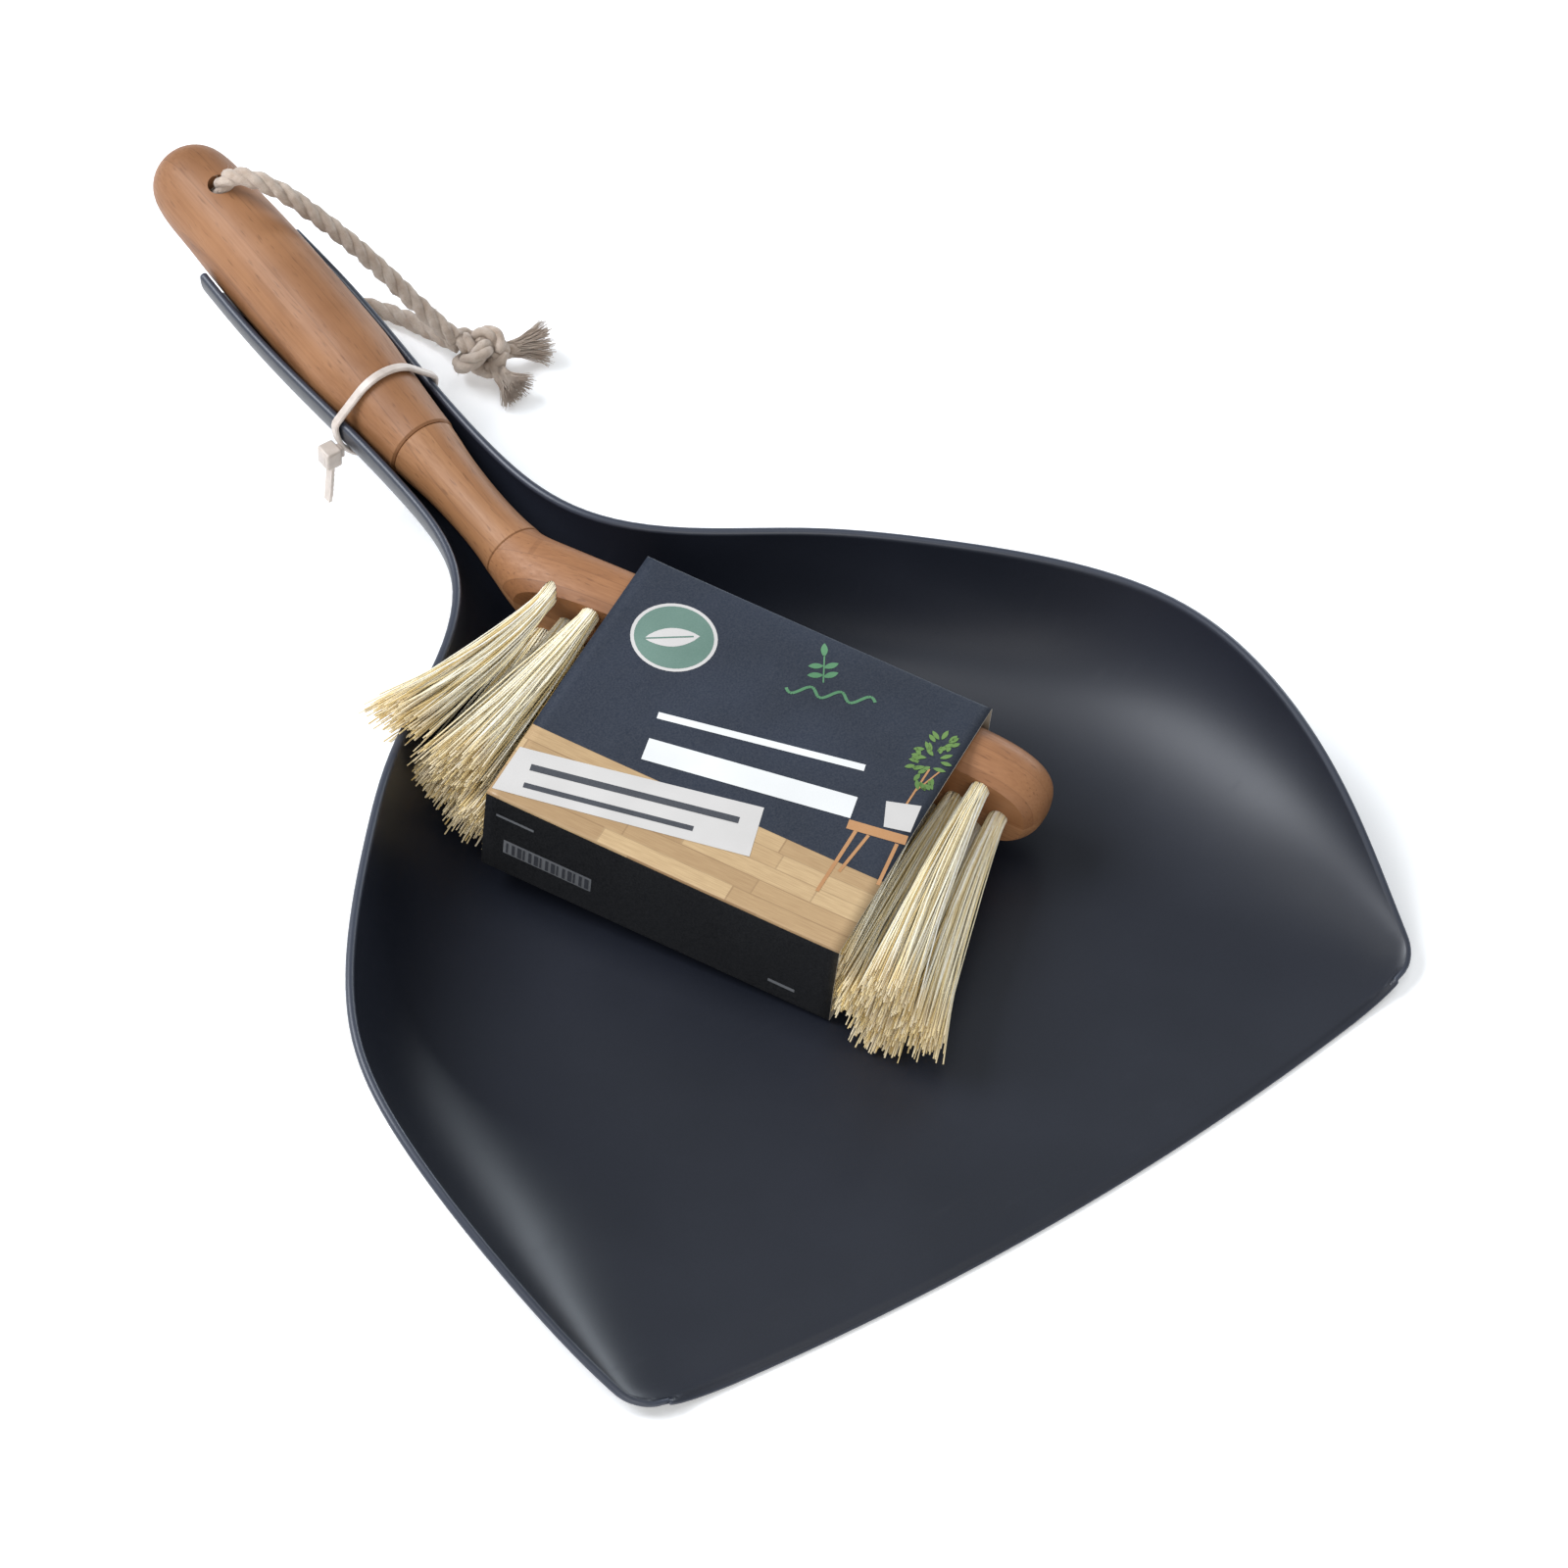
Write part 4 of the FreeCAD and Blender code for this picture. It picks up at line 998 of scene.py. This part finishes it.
# pale plate with two grey rules, front left
pr.level = 0.09
for i in range(16):
    t0, t1 = i / 16, (i + 1) / 16
    up0, up1 = (-46.0 + 58.5 * t0, 26.2 - 13.1 * t0), (-46.0 + 58.5 * t1, 26.2 - 13.1 * t1)
    dn0, dn1 = (-46.0 + 61.9 * t0, 40.2 - 12.6 * t0), (-46.0 + 61.9 * t1, 40.2 - 12.6 * t1)
    pr.poly([up0, up1, dn1, dn0], "pale")
pr.level = 0.13
pr.strip(-41.0, 30.2, 9.0, 19.4, 1.9, "dark", 14)
pr.strip(-40.0, 35.6, 0.7, 27.0, 1.5, "dark", 12)
# a small table with a potted plant, front right
pr.level = 0.07
pr.strip(31.8, 7.4, 46.2, 5.0, 2.8, "wood", 5)
pr.strip(34.4, 8.4, 34.2, 28.6, 0.9, "wood", 5)
pr.strip(37.6, 8.0, 36.2, 21.0, 0.8, "wood", 4)
pr.strip(44.6, 7.0, 45.9, 20.0, 0.9, "wood", 4)
pr.level = 0.10
pr.poly([(36.8, -3.2), (44.8, -6.0), (45.9, 2.4), (39.6, 4.0)], "pale")
pr.strip(41.4, -4.6, 41.6, -17.0, 0.5, "wood", 4)
pr.strip(41.4, -9.0, 44.2, -18.0, 0.4, "wood", 3)
rp = random.Random(5)
for _ in range(40):
    ang = rp.uniform(-math.pi, math.pi)
    rr = math.sqrt(rp.random())
    ca, cb = 41.2 + rr * math.cos(ang) * 3.6, -19.5 + rr * math.sin(ang) * 7.6
    turn = ang + rp.uniform(-0.9, 0.9)
    ln = rp.uniform(2.2, 3.4)
    if ca + ln * math.cos(turn) < 46.0:
        pr.leaf(ca, cb, ln, 1.2, turn, "leaf", 6)
# front face: small pale block with fine rules, and short plain dashes
pr.front([(-41.0, -5.5), (-17.5, -5.5), (-17.5, -0.5), (-41.0, -0.5)], "grey")
for i in range(15):
    a0 = -40.2 + i * 1.5
    pr.level = 0
    base = len(pr.v)
    for a, w in [(a0, -5.0), (a0 + 0.5 + 0.3 * (i % 3), -5.0), (a0 + 0.5 + 0.3 * (i % 3), -1.2), (a0, -1.2)]:
        pr.v.append(to_world(on_head(a, SD / 2 + 0.40, w)))
    pr.f.append(tuple(range(base, base + 4)))
    pr.m.append(INK_ORDER.index("dark"))
pr.front([(-43.5, 7.2), (-33.5, 7.2), (-33.5, 8.0), (-43.5, 8.0)], "grey")
pr.front([(30.0, -8.5), (37.0, -8.5), (37.0, -7.4), (30.0, -7.4)], "grey")
prints = mesh_object("sleeve_print", pr.v, pr.f, None, False)
for nme in INK_ORDER:
    prints.data.materials.append(INK[nme])
for poly, mi in zip(prints.data.polygons, pr.m):
    poly.material_index = mi
# face outwards
me = prints.data
nrm_up = BRUSH.to_3x3() @ Vector((0, 0, 1))
front_dir = BRUSH.to_3x3() @ B_DIR
for poly in me.polygons:
    if poly.normal.dot(nrm_up) < -0.5 or (abs(poly.normal.dot(nrm_up)) < 0.5 and poly.normal.dot(front_dir) < 0):
        poly.flip()
me.update()
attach(prints, "sleeve")


# ------------------------------------------------------------------ hanging rope
def nurbs_route(name, pts):
    cu = bpy.data.curves.new(name + "_route", "CURVE")
    cu.dimensions = "3D"
    sp = cu.splines.new("NURBS")
    sp.points.add(len(pts) - 1)
    for p, q in zip(sp.points, pts):
        p.co = (q[0] * MM, q[1] * MM, q[2] * MM, 1.0)
    sp.order_u = 3
    sp.use_endpoint_u = True
    sp.resolution_u = 24
    ob = bpy.data.objects.new(name + "_route", cu)
    bpy.context.scene.collection.objects.link(ob)
    bpy.context.view_layer.update()
    me = bpy.data.meshes.new_from_object(ob)
    points = [v.co.copy() for v in me.vertices]
    bpy.data.objects.remove(ob)
    bpy.data.curves.remove(cu)
    bpy.data.meshes.remove(me)
    return points


def length_of(points):
    return sum((b - a).length for a, b in zip(points[:-1], points[1:]))


def even(points, step):
    """Even steps along a polyline."""
    total = length_of(points)
    n = max(int(total / step), 2)
    out, acc, i = [points[0].copy()], 0.0, 0
    for k in range(1, n):
        want = total * k / n
        while i < len(points) - 2 and acc + (points[i + 1] - points[i]).length < want:
            acc += (points[i + 1] - points[i]).length
            i += 1
        seg = (points[i + 1] - points[i])
        out.append(points[i] + seg * ((want - acc) / max(seg.length, 1e-9)))
    out.append(points[-1].copy())
    return out


def strand_mesh(name, path, r_helix, r_strand, lay, rnd, fuzz=120, start_turn=0.0):
    """Three twisted strands round a path, with a few loose hairs."""
    pts = even(path, 0.0006)
    fr = frames_along(pts)
    verts, faces, uvs = [], [], []
    run = [0.0]
    for a, b in zip(pts[:-1], pts[1:]):
        run.append(run[-1] + (b - a).length)
    sides = 9
    for s in range(3):
        centre = []
        for (p, t, n, b), d in zip(fr, run):
            g = start_turn + 2 * math.pi * (d / lay) + 2 * math.pi * s / 3
            wob = 1 + 0.05 * math.sin(d * 900 + s)
            centre.append(p + n * (r_helix * wob * math.cos(g)) + b * (r_helix * wob * math.sin(g)))
        base = len(verts)
        fr2 = frames_along(centre)
        for i, (p, t, n, b) in enumerate(fr2):
            rr = r_strand * (1 + 0.06 * math.sin(run[i] * 2300 + s * 2))
            for k in range(sides):
                g = 2 * math.pi * k / sides
                verts.append(p + n * (rr * math.cos(g)) + b * (rr * math.sin(g)))
        for i in range(len(centre) - 1):
            for k in range(sides):
                k2 = (k + 1) % sides
                faces.append((base + i * sides + k, base + i * sides + k2, base + (i + 1) * sides + k2, base + (i + 1) * sides + k))
                uvs.append([(k / sides + run[i] * 60, run[i] * 100), ((k + 1) / sides + run[i] * 60, run[i] * 100),
                            ((k + 1) / sides + run[i + 1] * 60, run[i + 1] * 100), (k / sides + run[i + 1] * 60, run[i + 1] * 100)])
        for i, rev in ((0, True), (len(centre) - 1, False)):
            f = tuple(base + i * sides + k for k in range(sides))
            faces.append(f[::-1] if rev else f)
            uvs.append([(0, 0)] * sides)
    for _ in range(fuzz):
        i = rnd.randrange(2, len(fr) - 2)
        p, t, n, b = fr[i]
        g = rnd.uniform(0, 2 * math.pi)
        out = n * math.cos(g) + b * math.sin(g)
        q0 = p + out * (r_helix + r_strand * 0.75)
        ln = rnd.uniform(0.0008, 0.0022)
        q1 = q0 + (out * 0.35 + t * rnd.choice((-1, 1))) * ln * 0.6
        q2 = q1 + (out * rnd.uniform(0.1, 0.7) + t * rnd.uniform(-0.8, 0.8)) * ln * 0.5
        if min(q1.z, q2.z) < 0.0002:
            continue
        n0 = len(faces)
        add_tube(verts, faces, [q0, q1, q2], [0.00006, 0.00005, 0.00004], 3)
        for f in faces[n0:]:
            uvs.append([(0.1 * j, 0.3) for j in range(len(f))])
    return verts, faces, uvs


def rope_object(name, data, material=None):
    verts, faces, uvs = data
    ob = mesh_object(name, verts, faces, material or MAT_ROPE)
    uvl = ob.data.uv_layers.new(name="along")
    for poly, uv in zip(ob.data.polygons, uvs):
        for li, q in zip(poly.loop_indices, uv):
            uvl.data[li].uv = q
    return ob


UPPER = [(0.0, 253.8, 44.5), (0.2, 252.5, 54.0), (3.0, 245.6, 58.6), (9.6, 238.6, 55.0), (16.4, 231.8, 47.0),
         (23.6, 226.0, 37.5), (30.2, 219.6, 27.0), (35.6, 212.8, 17.8), (40.2, 206.6, 11.6)]
LOWER = [(0.0, 254.2, 36.0), (0.6, 255.0, 23.0), (6.5, 255.4, 11.5), (17.0, 250.6, 4.6), (28.5, 242.6, 2.7),
         (37.0, 231.6, 2.6), (41.0, 219.0, 3.8), (42.4, 208.0, 7.0)]
rnd = random.Random(71)
up_path = nurbs_route("hang_rope_upper", UPPER)
lo_path = nurbs_route("hang_rope_lower", LOWER)
upper = rope_object("hang_rope_upper_strands", strand_mesh("u", up_path, 0.00114, 0.00134, 0.0165, rnd, 170))
lower = rope_object("hang_rope_lower_strands", strand_mesh("l", lo_path, 0.00114, 0.00134, 0.0165, rnd, 130))

# knot: rope drawn up into an overhand knot inside the CAD knot's ellipsoid
K_C = Vector((44.4, 202.4, 8.0)) * MM
K_AX = Vector((0.75, -0.66, 0.05)).normalized()
K_Y = Vector((0, 0, 1)).cross(K_AX).normalized()
K_Z = K_AX.cross(K_Y)


def knot_paths():
    paths = []
    n = 150
    for off, ph in ((0.0, 0.0), (0.9, 0.42)):
        pts = []
        for i in range(n + 1):
            t = 2 * math.pi * i / n + ph
            big, small = 3.35, 1.75
            x = (big + small * math.cos(3 * t)) * math.cos(2 * t)
            y = (big + small * math.cos(3 * t)) * math.sin(2 * t)
            z = small * 1.15 * math.sin(3 * t)
            pts.append(K_C + K_AX * ((x * 1.12 + off * 0.4) * MM) + K_Y * (y * 1.05 * MM) + K_Z * ((z * 1.75) * MM))
        paths.append(pts)
    return paths


kv, kf, ku = [], [], []
for pts in knot_paths()[:1]:
    v, f, u = strand_mesh("k", pts, 0.00114, 0.00134, 0.0150, rnd, 110)
    o = len(kv)
    kv += v
    kf += [tuple(i + o for i in q) for q in f]
    ku += u
knot = rope_object("rope_knot_overhand", (kv, kf, ku))


def frayed(start, end, r0, r1, count, seed):
    rn = random.Random(seed)
    s, e = Vector(start) * MM, Vector(end) * MM
    axis = (e - s)
    stub = [s - axis * 0.18 + axis * (0.62 * i / 8) for i in range(9)]
    v, f, u = strand_mesh("t", stub, 0.00106, 0.00122, 0.0150, rn, 20)
    ax = axis.normalized()
    side = ax.cross(Vector((0, 0, 1))).normalized()
    upv = side.cross(ax)
    for _ in range(count):
        g = rn.uniform(0, 2 * math.pi)
        rr = math.sqrt(rn.random())
        p0 = s + axis * rn.uniform(0.22, 0.34) + (side * math.cos(g) + upv * math.sin(g)) * (r0 * 0.85 * rr * MM)
        g2 = g + rn.gauss(0, 0.3)
        r_end = r1 * rr * rn.uniform(0.8, 1.08)
        p3 = s + axis * rn.uniform(0.86, 1.0) + (side * math.cos(g2) + upv * math.sin(g2)) * (r_end * MM)
        p1 = p0 + ax * ((p3 - p0).length * 0.35)
        pts = []
        for i in range(7):
            t = i / 6
            p = p0 * ((1 - t) ** 2) + p1 * (2 * t * (1 - t)) + p3 * (t * t)
            p = p + side * (rn.gauss(0, 0.00010)) + upv * (rn.gauss(0, 0.00010))
            p.z = max(p.z, 0.0003)
            pts.append(p)
        n0 = len(f)
        add_tube(v, f, pts, [0.00015 - 0.000012 * i for i in range(7)], 4)
        for q in f[n0:]:
            u.append([(rn.random(), 0.2) for _ in q])
    return v, f, u


tv, tf, tu = [], [], []
for args in (((48.2, 201.4, 6.2), (63.5, 197.8, 4.6), 2.4, 6.3, 360, 5), ((45.6, 197.2, 5.6), (46.8, 187.0, 4.2), 2.4, 5.8, 330, 9)):
    v, f, u = frayed(*args)
    o = len(tv)
    tv += v
    tf += [tuple(i + o for i in q) for q in f]
    tu += u
tails = rope_object("rope_tails_frayed", (tv, tf, tu))
for ob, node in ((upper, "hang_rope_upper"), (lower, "hang_rope_lower"), (knot, "rope_knot"), (tails, "rope_tails")):
    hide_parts(node)
    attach(ob, "hang_loop")
print("rope lengths", length_of(up_path), length_of(lo_path))


# ------------------------------------------------------------------ cable tie
def cross2(o, a, b):
    return (a[0] - o[0]) * (b[1] - o[1]) - (a[1] - o[1]) * (b[0] - o[0])


def hull(points):
    pts = sorted(set(points))
    lo, hi = [], []
    for p in pts:
        while len(lo) >= 2 and cross2(lo[-2], lo[-1], p) <= 0:
            lo.pop()
        lo.append(p)
    for p in reversed(pts):
        while len(hi) >= 2 and cross2(hi[-2], hi[-1], p) <= 0:
            hi.pop()
        hi.append(p)
    return lo[:-1] + hi[:-1]


def build_tie():
    y0 = 179.0
    v = (210.0 - y0) / math.cos(4.8 * D2R)
    zc = 36.3 - v * math.sin(4.8 * D2R)
    pts = []
    for k in range(48):
        a = 2 * math.pi * k / 48
        pts.append((round(10.85 * math.cos(a), 4), round(zc + 10.85 * math.sin(a), 4)))
    for i in range(41):
        p = mid(y0, i / 40.0)
        a, b = mid(y0, max(i / 40.0 - 0.01, 0)), mid(y0, min(i / 40.0 + 0.01, 1))
        d = b - a
        ln = math.hypot(d.x, d.z)
        h = wall(y0) / 2 + 0.15
        for sx in (-1, 1):
            pts.append((round(sx * (p.x + d.z / ln * h), 4), round(p.z - d.x / ln * h, 4)))
    p = mid(y0, 1.0)
    for k in range(13):
        a = math.pi * k / 12
        for sx in (-1, 1):
            pts.append((round(sx * (p.x + 1.3 * math.cos(a)), 4), round(p.z + 1.3 * math.sin(a), 4)))
    ring = hull(pts)
    # even points round the loop
    loop = [Vector((q[0], q[1])) for q in ring]
    lens = [0.0]
    for i in range(len(loop)):
        lens.append(lens[-1] + (loop[(i + 1) % len(loop)] - loop[i]).length)
    total, n = lens[-1], 140
    ev, i = [], 0
    for k in range(n):
        want = total * k / n
        while lens[i + 1] < want:
            i += 1
        t = (want - lens[i]) / max(lens[i + 1] - lens[i], 1e-9)
        ev.append(loop[i].lerp(loop[(i + 1) % len(loop)], t))
    verts, faces = [], []
    tw, tt = 2.5, 1.1
    # section: rounded rectangle (across y, outwards)
    sec = [(-tw / 2 + 0.3, 0.0), (tw / 2 - 0.3, 0.0), (tw / 2, 0.3), (tw / 2, tt - 0.35), (tw / 2 - 0.35, tt), (-tw / 2 + 0.35, tt),
           (-tw / 2, tt - 0.35), (-tw / 2, 0.3)]
    for k in range(n):
        a, b, c = ev[k - 1], ev[k], ev[(k + 1) % n]
        d = (c - a).normalized()
        out = Vector((d.y, -d.x))
        for sy, so in sec:
            q = b + out * (so + 0.15)
            verts.append(Vector((q.x, y0 + sy, q.y)) * MM)
    m = len(sec)
    for k in range(n):
        k2 = (k + 1) % n
        for j in range(m):
            j2 = (j + 1) % m
            faces.append((k * m + j, k * m + j2, k2 * m + j2, k2 * m + j))

    def block(cx, cy, cz, sx, sy, sz, bev, turn=0.0):
        bm = bmesh.new()
        bmesh.ops.create_cube(bm, size=1.0)
        for w in bm.verts:
            w.co = Vector((w.co.x * sx, w.co.y * sy, w.co.z * sz))
        bmesh.ops.bevel(bm, geom=list(bm.edges), offset=bev, segments=3, affect="EDGES", profile=0.6)
        rot = Matrix.Rotation(turn, 3, "Y")
        base = len(verts)
        bm.verts.ensure_lookup_table()
        for w in bm.verts:
            q = rot @ w.co + Vector((cx, cy, cz))
            verts.append(q * MM)
        for f in bm.faces:
            faces.append(tuple(base + w.index for w in f.verts))
        bm.free()

    block(-16.8, y0, 25.3, 4.4, 5.0, 5.4, 0.7)
    block(-14.9, y0, 25.4, 3.6, 2.5, 3.0, 0.3)
    # the pawl window on the outer side and the flared collar at the lock's mouth
    block(-18.9, y0, 25.6, 0.35, 2.2, 2.4, 0.12)
    block(-16.8, y0, 22.4, 3.0, 3.6, 0.9, 0.25)
    # tail: a thin strip with fine teeth, leaning out a little
    n_t = 16
    base = len(verts)
    pts_t = [Vector((-16.6 - 1.0 * (i / n_t) ** 1.4, y0, 23.2 - 13.4 * i / n_t)) for i in range(n_t + 1)]
    for i, q in enumerate(pts_t):
        t = i / n_t
        hw = 1.25 * (1 - 0.15 * smooth(0.8, 1.0, t))
        th = 0.5
        ridge = 0.10 if i % 2 else 0.0
        for dx, dy in ((-th, -hw), (-th, hw), (th + ridge - 0.1, hw), (th + ridge - 0.1, -hw)):
            verts.append(Vector((q.x + dx, q.y + dy, q.z)) * MM)
    for i in range(n_t):
        for j in range(4):
            j2 = (j + 1) % 4
            faces.append((base + i * 4 + j, base + i * 4 + j2, base + (i + 1) * 4 + j2, base + (i + 1) * 4 + j))
    faces.append((base, base + 1, base + 2, base + 3))
    e = base + n_t * 4
    faces.append((e + 3, e + 2, e + 1, e))
    ob = mesh_object("cable_tie_band", verts, faces, MAT_TIE)
    bm = bmesh.new()
    bm.from_mesh(ob.data)
    bmesh.ops.recalc_face_normals(bm, faces=bm.faces)
    bm.to_mesh(ob.data)
    bm.free()
    try:
        ob.data.set_sharp_from_angle(angle=0.7)
    except AttributeError:
        pass
    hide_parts("cable_tie")
    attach(ob, "pan")
    return ob


tie = build_tie()
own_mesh(tie)

# ------------------------------------------------------------------ floor, light
floor_m, nt, bs = new_material("floor_look")
bs.inputs["Base Color"].default_value = (0.92, 0.92, 0.92, 1)
bs.inputs["Roughness"].default_value = 0.9
bs.inputs["Specular IOR Level"].default_value = 0.1
bs.inputs["Emission Color"].default_value = (1, 1, 1, 1)
bs.inputs["Emission Strength"].default_value = 0.22
fl = mesh_object("floor", [(-6, -6, 0), (6, -6, 0), (6, 6, 0), (-6, 6, 0)], [(0, 1, 2, 3)], floor_m, False)
fl.location.z = -0.0004

world = bpy.data.worlds.new("studio")
bpy.context.scene.world = world
world.use_nodes = True
bg = world.node_tree.nodes["Background"]
bg.inputs["Color"].default_value = (0.88, 0.94, 1.0, 1)
bg.inputs["Strength"].default_value = 0.36


def area(name, loc, look, size, power, colour=(1, 1, 1), size_y=None):
    ld = bpy.data.lights.new(name, "AREA")
    ld.energy = power
    ld.color = colour
    ld.shape = "RECTANGLE"
    ld.size = size
    ld.size_y = size_y or size
    ob = bpy.data.objects.new(name, ld)
    bpy.context.scene.collection.objects.link(ob)
    ob.location = loc
    ob.rotation_euler = (Vector(look) - Vector(loc)).to_track_quat("-Z", "Y").to_euler()
    return ob


area("key", (-0.72, 0.88, 1.15), (0.0, 0.05, 0), 1.05, 30, (0.90, 0.94, 1.0), 0.85)
area("right_low", (1.50, 0.60, 0.50), (-0.10, -0.05, 0), 0.75, 10, (0.84, 0.92, 1.0), 0.60)
area("front_fill", (-0.9, -1.2, 1.0), (0, 0, 0), 1.0, 12, (1.0, 0.98, 0.95))
area("top", (0.1, -0.1, 1.8), (0, 0, 0), 0.8, 4, (1.0, 1.0, 1.0))
bpy.context.scene.view_settings.view_transform = "Standard"
bpy.context.scene.view_settings.look = "None"
